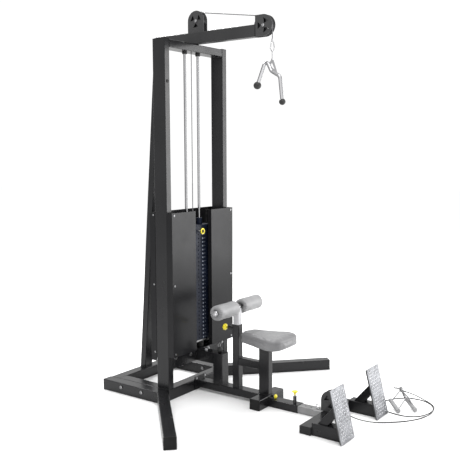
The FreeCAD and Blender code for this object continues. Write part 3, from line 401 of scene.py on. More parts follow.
def place(obj, body, slot, *replaced):
    """Ride a piece on a body and hide the nodes it stands for; slot, its finish, is not used."""
    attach(obj, body)
    if replaced:
        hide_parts(*replaced)
    return obj


def turned(axis, origin):
    """Matrix that carries local +Z to the axis and the origin to its place."""
    return Matrix.Translation(origin) @ Z.rotation_difference(Vector(axis)).to_matrix().to_4x4()


def add_rings(bm, rings, closed_ends=True, looped=False):
    """Skin of quads through rings of equally many points."""
    made = [[bm.verts.new(point) for point in ring] for ring in rings]
    count = len(made[0])
    pairs = list(zip(made, made[1:]))
    if looped:
        pairs.append((made[-1], made[0]))
    for lower, upper in pairs:
        for i in range(count):
            j = (i + 1) % count
            bm.faces.new((lower[i], lower[j], upper[j], upper[i]))
    if closed_ends and not looped:
        bm.faces.new(made[0])
        bm.faces.new(made[-1])


def add_lathe(bm, matrix, profile, segments=48, ripple=None, looped=False):
    """Turned body: profile is (radius, height); ripple scales radius by angle."""
    rings = []
    for radius, height in profile:
        ring = []
        for index in range(segments):
            angle = 2 * math.pi * index / segments
            scale = ripple(angle, radius) if ripple else 1.0
            point = Vector((radius * scale * math.cos(angle), radius * scale * math.sin(angle), height))
            ring.append(matrix @ point)
        rings.append(ring)
    add_rings(bm, rings, looped=looped)


def lathe(name, axis, origin, profile, material, segments=48, ripple=None, looped=False):
    bm = bmesh.new()
    add_lathe(bm, turned(axis, origin), profile, segments, ripple, looped)
    return finish_mesh(name, bm, material)


def rounded_disc(radius, low, high, edge):
    """Profile of a disc with softened rims."""
    steps = 5
    profile = [(radius * 0.02, low)]
    for index in range(steps + 1):
        angle = math.pi / 2 * index / steps
        profile.append((radius - edge + edge * math.sin(angle), low + edge - edge * math.cos(angle)))
    for index in range(steps + 1):
        angle = math.pi / 2 * index / steps
        profile.append((radius - edge + edge * math.cos(angle), high - edge + edge * math.sin(angle)))
    profile.append((radius * 0.02, high))
    return profile


def tube_rings(points, radius, sides=10, closed=False):
    """Rings round a path; radius is a number or a function of the ring's index."""
    count = len(points)
    rings = []
    side = None
    for index, point in enumerate(points):
        before = points[index - 1] if index or closed else point
        after = points[(index + 1) % count] if index + 1 < count or closed else point
        along = (after - before).normalized()
        if side is None:
            side = along.orthogonal().normalized()
        side = (side - along * side.dot(along)).normalized()
        other = along.cross(side)
        size = radius(index) if callable(radius) else radius
        ring = []
        for step in range(sides):
            angle = 2 * math.pi * step / sides
            ring.append(point + (side * math.cos(angle) + other * math.sin(angle)) * size)
        rings.append(ring)
    return rings


def rounded_polygon(corners, radii, step=0.006):
    """Closed outline through 2D corners, each rounded by its own radius."""
    outline = []
    count = len(corners)
    for index, corner in enumerate(corners):
        corner = Vector(corner)
        before = (Vector(corners[index - 1]) - corner).normalized()
        after = (Vector(corners[(index + 1) % count]) - corner).normalized()
        half = before.angle(after) / 2
        radius = radii[index]
        centre = corner + (before + after).normalized() * (radius / math.sin(half))
        start = corner + before * (radius / math.tan(half)) - centre
        sweep = math.pi - 2 * half
        turn = 1 if before.cross(after) < 0 else -1
        steps = max(3, round(radius * sweep / step))
        for k in range(steps + 1):
            angle = turn * sweep * k / steps
            rotated = Vector((start.x * math.cos(angle) - start.y * math.sin(angle),
                              start.x * math.sin(angle) + start.y * math.cos(angle)))
            outline.append(centre + rotated)
    return outline


def resample(points, step):
    """Points at an even spacing along a closed 2D or 3D outline."""
    loop = list(points) + [points[0]]
    lengths = [(b - a).length for a, b in zip(loop, loop[1:])]
    total = sum(lengths)
    count = max(8, round(total / step))
    result = []
    segment = 0
    walked = 0.0
    for index in range(count):
        target = total * index / count
        while walked + lengths[segment] < target:
            walked += lengths[segment]
            segment += 1
        share = (target - walked) / lengths[segment]
        result.append(loop[segment].lerp(loop[segment + 1], share))
    return result


# ------------------------------------------------------------------- soft pads

def arc(start, through, end, steps=10):
    """Points along the circular arc through three 2D points."""
    ax, ay = start
    bx, by = through
    cx, cy = end
    d = 2 * (ax * (by - cy) + bx * (cy - ay) + cx * (ay - by))
    a2, b2, c2 = ax * ax + ay * ay, bx * bx + by * by, cx * cx + cy * cy
    centre = Vector(((a2 * (by - cy) + b2 * (cy - ay) + c2 * (ay - by)) / d,
                     (a2 * (cx - bx) + b2 * (ax - cx) + c2 * (bx - ax)) / d))
    first = Vector(start) - centre
    middle = Vector(through) - centre
    last = Vector(end) - centre
    sweep = first.angle_signed(middle) + middle.angle_signed(last)
    points = []
    for index in range(steps + 1):
        angle = -sweep * index / steps
        points.append(centre + Vector((first.x * math.cos(angle) - first.y * math.sin(angle),
                                       first.x * math.sin(angle) + first.y * math.cos(angle))))
    return points


def seat_outline(inset):
    """Seat plan as in the frame: narrow at the tower, wide at the front."""
    low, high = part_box("seat_cushion")
    rear = high.y - inset
    front = low.y + inset
    narrow = 0.078 - inset
    wide = high.x - inset
    side = front + 0.088
    corner = (wide * 0.89, front + 0.028)
    blend = (wide * 0.55, front + 0.003)
    outline = arc((-narrow, rear - 0.030), (0, rear), (narrow, rear - 0.030), 16)
    outline += arc((wide, side), corner, blend)
    outline += arc(blend, (0, front), (-blend[0], blend[1]), 12)[1:]
    outline += arc((-blend[0], blend[1]), (-corner[0], corner[1]), (-wide, side))[1:]
    return resample([Vector(point) for point in outline], 0.0092)[:96]


def shrink_ring(ring, share, z):
    """Ring pulled towards its middle, at the height of the crown there."""
    middle = sum(ring, Vector((0, 0, 0))) / len(ring)
    return [Vector((*middle.lerp(point, share).xy, z)) for point in ring]


def swell(obj, voxel, cap, held_below):
    """Puff a pad with air pressure as cloth, its base held, and keep the result."""
    bpy.context.view_layer.objects.active = obj
    remesh = obj.modifiers.new("remesh", "REMESH")
    remesh.mode = "VOXEL"
    remesh.voxel_size = voxel
    bpy.ops.object.modifier_apply(modifier=remesh.name)
    rest = [vertex.co.copy() for vertex in obj.data.vertices]
    group = obj.vertex_groups.new(name="base")
    group.add([i for i, co in enumerate(rest) if co.z < held_below], 1.0, "REPLACE")
    cloth = obj.modifiers.new("cloth", "CLOTH")
    cloth.settings.use_pressure = True
    cloth.settings.uniform_pressure_force = 4.0
    cloth.settings.effector_weights.gravity = 0.0
    cloth.settings.vertex_group_mass = group.name
    cloth.point_cache.frame_start = 1
    cloth.point_cache.frame_end = PAD_FRAMES
    for number in range(1, PAD_FRAMES + 1):
        scene.frame_set(number)
    shaped = obj.evaluated_get(bpy.context.evaluated_depsgraph_get()).to_mesh()
    moved = [vertex.co.copy() for vertex in shaped.vertices]
    obj.modifiers.remove(cloth)
    for vertex, start, end in zip(obj.data.vertices, rest, moved):
        step = end - start
        vertex.co = start + step * min(1.0, cap / max(step.length, 1e-9))
    obj.vertex_groups.clear()
    scene.frame_set(1)


def smooth_mesh(obj, iterations):
    modifier = obj.modifiers.new("smooth", "SMOOTH")
    modifier.iterations = iterations
    modifier.factor = 0.5
    bpy.context.view_layer.objects.active = obj
    bpy.ops.object.modifier_apply(modifier=modifier.name)


def seat_cushion():
    """Boxed pad: flat base, upright sides, rolled top edge and a low crown."""
    low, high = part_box("seat_cushion")
    edge = 0.016
    shoulder = high.z - 0.0190
    levels = [(0.014, low.z), (0.008, low.z + 0.0006), (0.0055, low.z + 0.004), (0.0045, low.z + 0.012),
              (0.004, low.z + 0.024), (0.004, low.z + 0.038)]
    for index in range(9):
        angle = math.pi / 2 * index / 8
        levels.append((0.004 + edge * (1 - math.cos(angle)), shoulder + edge * math.sin(angle)))
    rings = [[Vector((p.x, p.y, z)) for p in seat_outline(inset)] for inset, z in levels]
    top = rings[-1]
    for share, fall in ((0.93, 0.0025), (0.8, 0.0017), (0.6, 0.0010), (0.35, 0.0005), (0.1, 0.0003)):
        rings.append(shrink_ring(top, share, high.z - fall))
    bm = bmesh.new()
    add_rings(bm, rings)
    pad = finish_mesh("seat pad", bm, VINYL)
    swell(pad, 0.005, 0.004, low.z + 0.010)
    smooth_mesh(pad, 2)
    for face in pad.data.polygons:
        face.use_smooth = True
    subdivision = pad.modifiers.new("subdivision", "SUBSURF")
    subdivision.levels = 1
    subdivision.render_levels = 1
    place(pad, "frame", "vinyl_grey", "seat_cushion")
    return pad


def surface_of(obj):
    bpy.context.view_layer.update()
    return BVHTree.FromObject(obj, bpy.context.evaluated_depsgraph_get())


def add_stitch(bm, surface, start, end):
    """One stitch laid on the nearest surface between two points."""
    ends = []
    for point in (start, end):
        hit, normal, _, _ = surface.find_nearest(point)
        ends.append(hit + normal * 0.0001)
    middle = (ends[0] + ends[1]) / 2
    add_rings(bm, tube_rings([ends[0], middle, ends[1]], lambda i: 0.0006 if i == 1 else 0.0003, 6))


def seat_seam(pad):
    """Sewn welt round the pad's top edge, with a row of stitches below it."""
    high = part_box("seat_cushion")[1]
    surface = surface_of(pad)
    loop = [Vector((p.x, p.y, high.z - 0.0185)) for p in resample(seat_outline(0.004), 0.004)]
    welt = []
    for point in loop:
        hit, normal, _, _ = surface.find_nearest(point)
        welt.append(hit + normal * 0.0002)
    bm = bmesh.new()
    add_rings(bm, tube_rings(welt, 0.0014, 8, closed=True), looped=True)
    place(finish_mesh("seat welt", bm, VINYL), "frame", "vinyl_grey")
    bm = bmesh.new()
    line = resample([Vector((p.x, p.y, high.z - 0.0245)) for p in seat_outline(0.003)], STITCH_STEP)
    for first, last in zip(line[0::2], line[1::2]):
        add_stitch(bm, surface, first, last)
    place(finish_mesh("seat stitches", bm, THREAD), "frame", "vinyl_grey")


def roller(side, node, body):
    """Vinyl covered foam roller, its cover gathered round the bar at both ends."""
    low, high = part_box(node)
    axis_y = (low.y + high.y) / 2
    axis_z = (low.z + high.z) / 2
    radius = (high.z - low.z) / 2
    length = high.x - low.x
    centre_x = (low.x + high.x) / 2
    rim = 0.017
    bore = 0.0185
    profile = []
    for share in (0.0, 0.12, 0.25, 0.4, 0.55, 0.7, 0.85, 1.0):
        reach = bore + (radius - rim - bore) * share
        profile.append((reach, -length / 2 + 0.0075 * (1 - share) ** 1.5))
    for index in range(1, 8):
        angle = math.pi / 2 * index / 7
        profile.append((radius - rim + rim * math.sin(angle), -length / 2 + rim - rim * math.cos(angle)))
    for index in range(1, 12):
        profile.append((radius, -length / 2 + rim + (length / 2 - rim) * index / 12))
    full = profile + [(r, -h) for r, h in reversed(profile)]
    folds = 24
    rng = random.Random(11 if side < 0 else 12)
    phases = [rng.uniform(-0.5, 0.5) for _ in range(folds)]
    depths = [rng.uniform(0.6, 1.25) for _ in range(folds)]
    segments = folds * 9
    bm = bmesh.new()
    rings = []
    for r, h in full:
        near_end = length / 2 - abs(h)
        gather = max(0.0, 1.0 - max(near_end, 0.0) / 0.036) ** 1.6
        ring = []
        for index in range(segments):
            fold = index // 9
            angle = 2 * math.pi * index / segments
            share = (index % 9) / 9
            wave = 0.5 + 0.5 * math.cos(2 * math.pi * share + phases[fold] * math.sin(math.pi * share))
            depth = gather * depths[fold] * wave ** 3
            reach = r - 0.0062 * depth
            soft = 0.0005 * math.sin(3 * angle + 40 * h) + 0.0004 * math.sin(5 * angle - 65 * h)
            reach += soft * (1 - gather)
            push = math.copysign(0.0085 * depth, -h)
            ring.append(Vector((centre_x + h + push, axis_y + reach * math.cos(angle),
                                axis_z + reach * math.sin(angle))))
        rings.append(ring)
    add_rings(bm, rings, looped=True)
    cover = finish_mesh(node + " cover", bm, ROLLER_VINYL)
    place(cover, body, "vinyl_grey", node)
    surface = surface_of(cover)
    bm = bmesh.new()
    count = round((length - 0.05) / STITCH_STEP)
    first = Vector((centre_x - length / 2 + 0.025, axis_y + radius * 0.5, axis_z - radius))
    for index in range(0, count, 2):
        start = first + X * (index * STITCH_STEP)
        add_stitch(bm, surface, start, start + X * STITCH_STEP)
    place(finish_mesh(node + " stitches", bm, THREAD), body, "vinyl_grey")


def roller_caps():
    """Domed caps that close the cover's gathers at the outer ends of the bar."""
    low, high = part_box("thigh_axle")
    axis_y = (low.y + high.y) / 2
    axis_z = (low.z + high.z) / 2
    for side, name in ((-1, "left"), (1, "right")):
        start = Vector((side * (high.x - 0.0095), axis_y, axis_z))
        profile = [(0.004, 0.0), (0.019, 0.0), (0.0205, 0.0012), (0.0205, 0.003)]
        for index in range(1, 9):
            angle = math.pi / 2 * index / 8
            profile.append((max(0.0195 * math.cos(angle), 0.0004), 0.0035 + 0.0085 * math.sin(angle)))
        cap = lathe("roller cap " + name, X * side, start, profile, CHROME, 48)
        place(cap, "thigh_pad", "chrome_rod")


# ------------------------------------------------------------- knobs and pins

def lobed(count, depth, above):
    """Ripple with finger lobes on the widest part of a knob."""
    def ripple(angle, radius):
        return 1.0 - depth * (0.5 - 0.5 * math.cos(count * angle)) if radius > above else 1.0
    return ripple


def knob_profile(radius, thickness):
    """Mushroom knob: narrow waist, full rim, shallow domed face."""
    shares = ((0.42, 0.0), (0.45, 0.18), (0.72, 0.30), (0.90, 0.38), (0.98, 0.48), (1.0, 0.60),
              (0.985, 0.72), (0.92, 0.84), (0.78, 0.93), (0.55, 0.975), (0.30, 0.995), (0.02, 1.0))
    return [(radius * across, thickness * along) for across, along in shares]


def thigh_knob():
    low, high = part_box("thigh_pin")
    centre = (low + high) / 2
    radius = (high.z - low.z) / 2
    start = Vector((centre.x, high.y - 0.031, centre.z))
    ripple = lobed(8, 0.06, radius * 0.7)
    knob = lathe("height knob", Y, start, knob_profile(radius, 0.030), YELLOW, 96, ripple)
    place(knob, "height_pin", "knob_yellow", "thigh_pin")
    stem = [(0.0048, low.y - start.y), (0.005, low.y + 0.002 - start.y), (0.005, -0.022), (0.0085, -0.020),
            (0.009, -0.018), (0.009, 0.001), (0.004, 0.002)]
    place(lathe("height plunger", Y, start, stem, STEEL, 32), "height_pin", "bolt_steel")


def stop_knob():
    """Small ball knob on the stop pin."""
    low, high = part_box("stop_pin")
    centre = (low + high) / 2
    radius = (high.z - low.z) / 2 + 0.002     # the ball swells a little past its plain solid
    start = Vector((centre.x, low.y + 0.016, centre.z))
    profile = [(0.0050, -0.0030), (0.0068, -0.0026), (0.0072, -0.0010), (0.0090, 0.0)]
    for index in range(1, 12):
        angle = math.radians(-50 + 140 * index / 12)
        profile.append((radius * math.cos(angle), 0.0072 + 0.0092 * math.sin(angle)))
    profile.append((0.0003, 0.0164))
    place(lathe("seat stop knob", -Y, start, profile, YELLOW, 56), "seat_stop_pin", "knob_yellow", "stop_pin")
    inside = start.y - high.y
    stem = [(0.0030, inside), (0.0035, inside + 0.0006), (0.0035, -0.002), (0.0025, -0.001)]
    place(lathe("seat stop plunger", -Y, start, stem, STEEL, 32), "seat_stop_pin", "bolt_steel")


def reach_knob():
    """Round knob with finger lobes on a tapered neck."""
    low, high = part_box("slider_pin")
    centre = (low + high) / 2
    radius = high.x
    start = Vector((centre.x, centre.y, high.z - 0.029))
    profile = [(0.0050, 0.0), (0.0056, 0.0008), (0.0062, 0.006), (0.0074, 0.012), (0.0090, 0.0165),
               (0.0125, 0.0185), (0.0175, 0.0198), (radius * 0.97, 0.0215), (radius, 0.0235),
               (radius, 0.0250), (radius * 0.96, 0.0270), (radius * 0.85, 0.0284), (radius * 0.6, 0.0289),
               (radius * 0.3, 0.0286), (0.0003, 0.0285)]
    knob = lathe("reach knob", Z, start, profile, YELLOW, 84, lobed(7, 0.07, 0.016))
    place(knob, "reach_pin", "knob_yellow", "slider_pin")
    stem = [(0.0048, low.z), (0.005, low.z + 0.001), (0.005, start.z + 0.001), (0.004, start.z + 0.002)]
    plunger = lathe("reach plunger", Z, Vector((centre.x, centre.y, 0)), stem, STEEL, 32)
    place(plunger, "reach_pin", "bolt_steel")


def selector_ring():
    """Pull ring, its dark boss and the pin that runs into the stack."""
    low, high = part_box("selector_pin")
    centre = (low + high) / 2
    ring_y = low.y + 0.0055
    profile = []
    for index in range(14):
        angle = 2 * math.pi * index / 14
        profile.append((0.0164 + 0.0046 * math.cos(angle), 0.0046 * math.sin(angle)))
    middle = Vector((0, ring_y, centre.z))
    ring = lathe("selector ring", -Y, middle, profile, YELLOW, 64, looped=True)
    place(ring, "stack_pin", "knob_yellow", "selector_pin")
    boss = [(0.0005, -0.016), (0.0075, -0.016), (0.0082, -0.013), (0.0082, -0.005), (0.0112, -0.003),
            (0.0112, 0.003), (0.0095, 0.0042), (0.0005, 0.0045)]
    place(lathe("selector boss", -Y, middle, boss, CAP_BLACK, 40), "stack_pin", "cap_plastic")
    shaft = [(0.0008, ring_y - high.y), (0.0036, ring_y - high.y + 0.0012), (0.0048, ring_y - high.y + 0.004),
             (0.0048, -0.014), (0.003, -0.013)]
    place(lathe("selector shaft", -Y, middle, shaft, STEEL, 32), "stack_pin", "bolt_steel")


# ----------------------------------------------------------- cables and handle

def straight_cable(name, node):
    """Taut straight cable between the frame and its moving end, built once at the length of its node."""
    low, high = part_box(node)
    x = (low.x + high.x) / 2
    y = (low.y + high.y) / 2
    count = max(12, round((high.z - low.z) / 0.02))
    points = [Vector((x, y, low.z + (high.z - low.z) * i / count)) for i in range(count + 1)]
    bm = bmesh.new()
    add_rings(bm, tube_rings(points, (high.x - low.x) / 2, 14))
    cable = finish_mesh(name, bm, CABLE)
    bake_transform(cable)
    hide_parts(node)


def floor_cable(pieces):
    """Low row cable on the floor: one smooth curve on the route of its CAD tube."""
    curve = bpy.data.curves.new("floor_cable_run", "CURVE")
    curve.dimensions = "3D"
    spline = curve.splines.new("NURBS")
    spline.points.add(len(CORD_ROUTE) - 1)
    for point, (x, y, z) in zip(spline.points, CORD_ROUTE):
        point.co = (x, y + TOWER_FRONT, z, 1.0)
    spline.order_u = 3
    spline.use_endpoint_u = True
    spline.resolution_u = 8
    curve.bevel_depth = CORD_RADIUS
    curve.bevel_resolution = 5
    curve.use_fill_caps = True
    cable = bpy.data.objects.new("floor_cable_run", curve)
    scene.collection.objects.link(cable)
    cable.data.materials.append(DARK_CABLE)
    place(cable, "extension", "cable_jacket", "floor_cable")


def row_grips():
    """Ribbed rubber grips with a collar at each end."""
    grips = []
    for index, (top, foot) in enumerate(zip(GRIP_TOPS, GRIP_FEET)):
        top = Vector(top) + Vector((0, TOWER_FRONT, 0))
        foot = Vector(foot) + Vector((0, TOWER_FRONT, 0))
        length = (top - foot).length
        profile = [(0.006, 0.0), (0.0138, 0.0), (0.0150, 0.0012), (0.0150, 0.006), (0.0134, 0.0075)]
        ribs = 22
        start = 0.009
        pitch = (length - 2 * start) / ribs
        for rib in range(ribs):
            base = start + rib * pitch
            profile += [(0.0128, base), (0.0140, base + pitch * 0.25), (0.0140, base + pitch * 0.7)]
        profile += [(0.0128, length - start), (0.0134, length - 0.0075), (0.0150, length - 0.006),
                    (0.0150, length - 0.0012), (0.0138, length), (0.006, length)]
        grip = lathe("row grip %d" % (index + 1), (top - foot).normalized(), foot, profile, GRIP, 40)
        if index == 0:
            place(grip, "extension", "grip_rubber", "row_grips")
        else:
            place(grip, "extension", "grip_rubber")
        grips.append(grip)
    return grips


# --------------------------------------------------------------- small details

def hex_bolt(name, body, point, direction, radius, height):
    """Hexagon head with a chamfered face on a round washer."""
    matrix = turned(direction, point)
    bm = bmesh.new()
    add_lathe(bm, matrix, [(radius * 0.5, 0.0), (radius * 1.35, 0.0), (radius * 1.4, 0.0006),
                           (radius * 1.35, 0.0016), (radius * 0.5, 0.0016)], 40)
    head = [(radius * 0.6, 0.0012), (radius, 0.0012), (radius, height * 0.8), (radius * 0.9, height),
            (radius * 0.3, height)]
    add_lathe(bm, matrix, head, 6)
    place(finish_mesh(name, bm, STEEL, smooth=False), body, "bolt_steel")


def frame_hardware():
    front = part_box("stack_shelf")[0].y
    post_low, post_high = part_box("stack_post")
    flange = TOWER_FRONT - 0.006
    for index, (x, z) in enumerate(((-0.098, 0.268), (0.098, 0.268), (-0.259, 0.279), (0.259, 0.279))):
        hex_bolt("shelf bolt %d" % (index + 1), "frame", Vector((x, front, z)), -Y, 0.0095, 0.008)
    arm_y = (post_high.y + post_low.y) / 2 + 0.055
    hex_bolt("arm bolt", "frame", Vector((0, arm_y, post_high.z)), Z, 0.011, 0.010)
    for index, x in enumerate((-0.046, 0.046)):
        hex_bolt("beam bolt %d" % (index + 1), "frame", Vector((x, flange, 0.084)), -Y, 0.008, 0.006)
    upright_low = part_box("uprights")[0]
    plug = lathe("upright plug", -Y, Vector((upright_low.x + NARROW, upright_low.y, 2.111)),
                 rounded_disc(0.0105, 0.0, 0.0022, 0.0009), CAP_BLACK, 40)
    place(plug, "frame", "cap_plastic")


def stack_highlight_strip():
    """Steel strip under the front of the lowest plate, its bright line a painted highlight along the stack's
    bottom edge.
    """
    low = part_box("weight_plates")[0]
    bm = bmesh.new()
    rings = []
    for x, size in ((-0.086, 0.7), (-0.0845, 1.0), (0.0845, 1.0), (0.086, 0.7)):
        rings.append([Vector((x, low.y + y * size, low.z - 0.001 + z * size)) for y, z in
                      ((-0.0022, -0.010), (-0.0006, -0.0105), (-0.0004, -0.001), (0.012, -0.0008),
                       (0.012, 0.0), (-0.0022, 0.0004))])
    add_rings(bm, rings)
    place(finish_mesh("stack strip", bm, STEEL, smooth=False), "frame", "bolt_steel")


def cable_stop():
    """Rubber ball stop and its hook, where the low row cable ends on the post."""
    low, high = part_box("stack_post")
    y = low.y + 0.0445
    ball_z = high.z + 0.019
    profile = [(0.004, -0.019), (0.010, -0.0185), (0.016, -0.012), (0.0185, -0.004), (0.0185, 0.004),
               (0.016, 0.012), (0.010, 0.0175), (0.0055, 0.019), (0.0055, 0.0205)]
    ball = lathe("cable stop ball", Z, Vector((0, y, ball_z)), profile, RUBBER, 40)
    place(ball, "frame", "rubber_black")
    loop = [Vector((0, y + 0.006 + 0.009 * math.sin(a), ball_z + 0.032 - 0.015 * math.cos(a)))
            for a in [2 * math.pi * i / 28 for i in range(28)]]
    bm = bmesh.new()
    add_rings(bm, tube_rings(loop, 0.0026, 10, closed=True), looped=True)
    place(finish_mesh("cable stop hook", bm, DARK_CHROME), "frame", "chrome_rod")


def slider_ring():
    """Snap ring that stands on the front end of the sliding tube."""
    low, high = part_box("slider")
    y = low.y + 0.045
    centre = Vector((0, y, high.z + 0.0155))
    loop = [centre + Vector((0, 0.0135 * math.cos(a), 0.0135 * math.sin(a)))
            for a in [2 * math.pi * i / 36 for i in range(36)]]
    bm = bmesh.new()
    add_rings(bm, tube_rings(loop, 0.0028, 10, closed=True), looped=True)
    add_lathe(bm, turned(Z, Vector((0, y, high.z))), rounded_disc(0.0075, 0.0, 0.0045, 0.001), 32)
    place(finish_mesh("slider ring", bm, CHROME), "extension", "chrome_rod")


def pulley_bearings():
    """Bearing seals at the middle of each wheel."""
    for node, body in (("rear_pulley", "top_rear_pulley"), ("front_pulley", "top_front_pulley"),
                       ("low_pulley", "row_pulley")):
        centre = sum(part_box(node), Vector((0, 0, 0))) / 2
        bm = bmesh.new()
        for side in (-1, 1):
            ring = [(0.0085, 0.0), (0.0180, 0.0), (0.0184, 0.0006), (0.0180, 0.0014), (0.0130, 0.0014),
                    (0.0122, 0.0008), (0.0100, 0.0008), (0.0092, 0.0013), (0.0085, 0.0013)]
            start = centre + X * side * 0.0050
            add_lathe(bm, turned(X * side, start), ring, 48, looped=True)
        place(finish_mesh(node + " bearings", bm, STEEL), body, "bolt_steel")


def stack_tags():
    """Blank round tags on the front of every plate."""
    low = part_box("weight_plates")[0]
    for name, body, first, count in (("plate tags", "frame", 0, FIXED_PLATES),
                                     ("lifted plate tags", "lifted_stack", FIXED_PLATES, 1)):
        for shade, material, x, radius in (("light", TAG_LIGHT, 0.047, 0.0062),
                                           ("dark", TAG_DARK, 0.070, 0.0052)):
            bm = bmesh.new()
            for index in range(first, first + count):
                point = Vector((x, low.y, STACK_BASE + (index + 0.47) * PLATE_PITCH))
                add_lathe(bm, turned(-Y, point), rounded_disc(radius, -0.0003, 0.0011, 0.0005), 28)
            place(finish_mesh(shade + " " + name, bm, material), body, "cap_plastic")


def tread_bars():
    """Raised lens shaped bars, turned either way in rows over both plates, lighter than the sheet as a
    painted highlight.
    """
    low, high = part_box("foot_plates")
    frame_x = (low.x + high.x) / 2
    reach = (high.x - low.x - PLATE_SIZE[0]) / 2
    up = Vector((0, math.sin(PLATE_LEAN), math.cos(PLATE_LEAN)))
    out = Vector((0, -math.cos(PLATE_LEAN), math.sin(PLATE_LEAN)))
    bm = bmesh.new()
    pitch = 0.0195
    columns = int((PLATE_SIZE[0] - 0.012) / pitch)
    rows = int((PLATE_SIZE[1] - 0.012) / pitch)
    for side in (-1, 1):
        foot = Vector((frame_x + side * reach, PLATE_FOOT_Y, PLATE_FOOT_Z))
        for row in range(rows):
            for column in range(columns):
                across = (column - (columns - 1) / 2) * pitch
                height = 0.012 + (row + 0.4) * pitch
                turn = math.radians(45 if (row + column) % 2 else -45)
                add_lens(bm, foot + X * across + up * height, X, up, out, turn)
    place(finish_mesh("tread bars", bm, TREAD_BARS), "extension", "tread_metal")


def add_lens(bm, centre, right, up, out, turn):
    """One raised bar: a pointed oval with a rounded back."""
    along = right * math.cos(turn) + up * math.sin(turn)
    aside = up * math.cos(turn) - right * math.sin(turn)
    rings = []
    for size, rise in ((1.0, -0.0002), (0.93, 0.0008), (0.72, 0.0014), (0.35, 0.0017)):
        ring = []
        for index in range(12):
            angle = 2 * math.pi * index / 12
            width = 0.0036 * math.sin(angle) * (0.75 + 0.25 * abs(math.sin(angle)))
            reach = 0.0115 * size * math.cos(angle)
            ring.append(centre + along * reach + aside * (width * size) + out * rise)
        rings.append(ring)
    add_rings(bm, rings)


# ------------------------------------------------------------------ weld beads

def add_bead(bm, corners, placed, rounding=0.005):
    """Rippled bead along a rounded 2D outline, carried into place point by point."""
    outline = resample(rounded_polygon(corners, [rounding] * 4, 0.002), 0.0016)
    points = [placed(point) for point in outline]
    rings = tube_rings(points, lambda i: 0.0024 + 0.0005 * math.cos(2 * math.pi * i / 3), 7, closed=True)
    add_rings(bm, rings, looped=True)


def rectangle(half_a, half_b):
    return ((-half_a, -half_b), (half_a, -half_b), (half_a, half_b), (-half_a, half_b))


def weld_beads():
    """Beads where posts and tubes meet, as a piece for each body."""
    bm = bmesh.new()
    for node in ("thigh_post", "seat_post", "stack_post"):
        low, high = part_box(node)
        if node == "seat_post":
            half_x, half_y = NARROW, WIDE
            middle_y = (low.y + high.y) / 2
        else:
            half_x = high.x
            half_y = half_x
            middle_y = low.y + half_y
        add_bead(bm, rectangle(half_x, half_y), lambda p: Vector((p.x, middle_y + p.y, low.z)))
    low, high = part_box("seat_brace")
    middle_z = (low.z + high.z) / 2
    for y in (low.y, high.y):
        add_bead(bm, rectangle(NARROW, NARROW), lambda p: Vector((p.x, y, middle_z + p.y)))
    up_low, up_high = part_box("uprights")
    middle_y = (up_low.y + up_high.y) / 2
    for side in (-1, 1):
        x = side * (up_high.x - NARROW)
        add_bead(bm, rectangle(NARROW, TALL), lambda p: Vector((x + p.x, middle_y + p.y, up_low.z)))
    for node, half_z in (("stack_shelf", WIDE), ("top_crossbar", NARROW)):
        low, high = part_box(node)
        middle_z = (low.z + high.z) / 2
        for x in (low.x, high.x):
            add_bead(bm, rectangle(TALL, half_z), lambda p: Vector((x, middle_y + p.x, middle_z + p.y)))
    low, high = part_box("mast")
    add_bead(bm, rectangle(WIDE, NARROW), lambda p: Vector((p.x, high.y - 0.0256 + p.y, low.z)))
    place(finish_mesh("frame weld beads", bm, FRAME_BLACK), "frame", "frame_black")
    bm = bmesh.new()
    low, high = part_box("foot_bases")
    for side in (-1, 1):
        x = (low.x + high.x) / 2 + side * ((high.x - low.x) / 2 - WIDE)
        add_bead(bm, rectangle(WIDE, 0.0225), lambda p: Vector((x + p.x, high.y, 0.0262 + p.y)))
    place(finish_mesh("foot weld beads", bm, FRAME_BLACK), "extension", "frame_black")


# -------------------------------------------------------------- floor and light

def stage():
    bm = bmesh.new()
    half = 30.0
    corners = ((-half, -half), (half, -half), (half, half), (-half, half))
    bm.faces.new([bm.verts.new((x, y, -0.0004)) for x, y in corners])
    look = Shading("pale floor", (0.95, 0.95, 0.95), 0.9)
    look.tint(look.noise(0.6, 2.0), (0.945, 0.945, 0.945), (0.955, 0.955, 0.955))
    look.set("Specular IOR Level", 0.0)
    floor = finish_mesh("floor", bm, look.material, smooth=False)


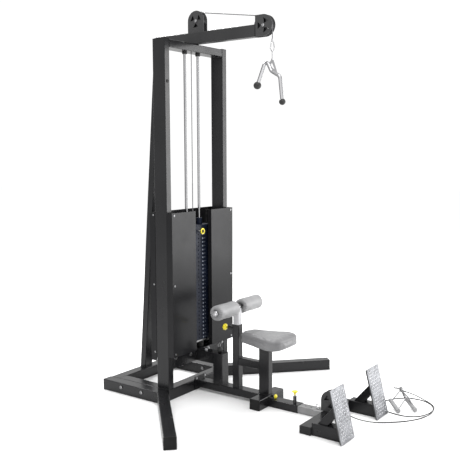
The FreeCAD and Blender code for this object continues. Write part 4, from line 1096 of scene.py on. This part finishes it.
def area_light(name, place_at, target, size, power):
    light = bpy.data.lights.new(name, "AREA")
    light.shape = "RECTANGLE"
    light.size = size[0]
    light.size_y = size[1]
    light.energy = power
    obj = bpy.data.objects.new(name, light)
    obj.location = place_at
    obj.rotation_euler = (Vector(target) - Vector(place_at)).to_track_quat("-Z", "Y").to_euler()
    scene.collection.objects.link(obj)


def lights():
    world = bpy.data.worlds.new("studio")
    world.use_nodes = True
    background = world.node_tree.nodes["Background"]
    background.inputs["Color"].default_value = (1.0, 1.0, 1.0, 1.0)
    background.inputs["Strength"].default_value = 1.06
    scene.world = world
    scene.view_settings.view_transform = "Standard"
    area_light("front strip", (4.6, -3.9, 1.7), (0, 0, 1.2), (2.2, 3.6), 170)
    area_light("top soft", (-1.2, -1.6, 5.4), (0, -0.3, 0.5), (2.6, 2.6), 120)
    area_light("rim strip", (1.8, 3.4, 4.6), (0, 0, 0.6), (3.2, 0.5), 280)


def camera():
    """Camera at the photograph's angle."""
    place_at = Vector((-3.81843, -3.01958 + TOWER_FRONT, 1.63427))
    yaw = 0.94616
    pitch = 0.10485
    roll = -0.00448
    ahead = Vector((math.sin(yaw) * math.cos(pitch), math.cos(yaw) * math.cos(pitch), -math.sin(pitch)))
    right = ahead.cross(Z).normalized()
    up = right.cross(ahead)
    turned_right = right * math.cos(roll) + up * math.sin(roll)
    turned_up = up * math.cos(roll) - right * math.sin(roll)
    data = bpy.data.cameras.new("camera")
    data.sensor_width = 36.0
    data.lens = 55.40
    obj = bpy.data.objects.new("camera", data)
    basis = Matrix((turned_right, turned_up, -ahead)).transposed()
    obj.matrix_world = Matrix.Translation(place_at) @ basis.to_4x4()
    scene.collection.objects.link(obj)
    scene.camera = obj


paint_nodes()
seat_seam(seat_cushion())
roller(-1, "roller_left", "left_roller")
roller(1, "roller_right", "right_roller")
roller_caps()
thigh_knob()
stop_knob()
reach_knob()
selector_ring()
straight_cable("stack cable", "stack_cable")
straight_cable("handle cable", "handle_cable")
floor_cable(row_grips() + [nodes["row_frame"], nodes["row_fittings"]])
frame_hardware()
stack_highlight_strip()
cable_stop()
slider_ring()
pulley_bearings()
stack_tags()
tread_bars()
weld_beads()
stage()
lights()
camera()
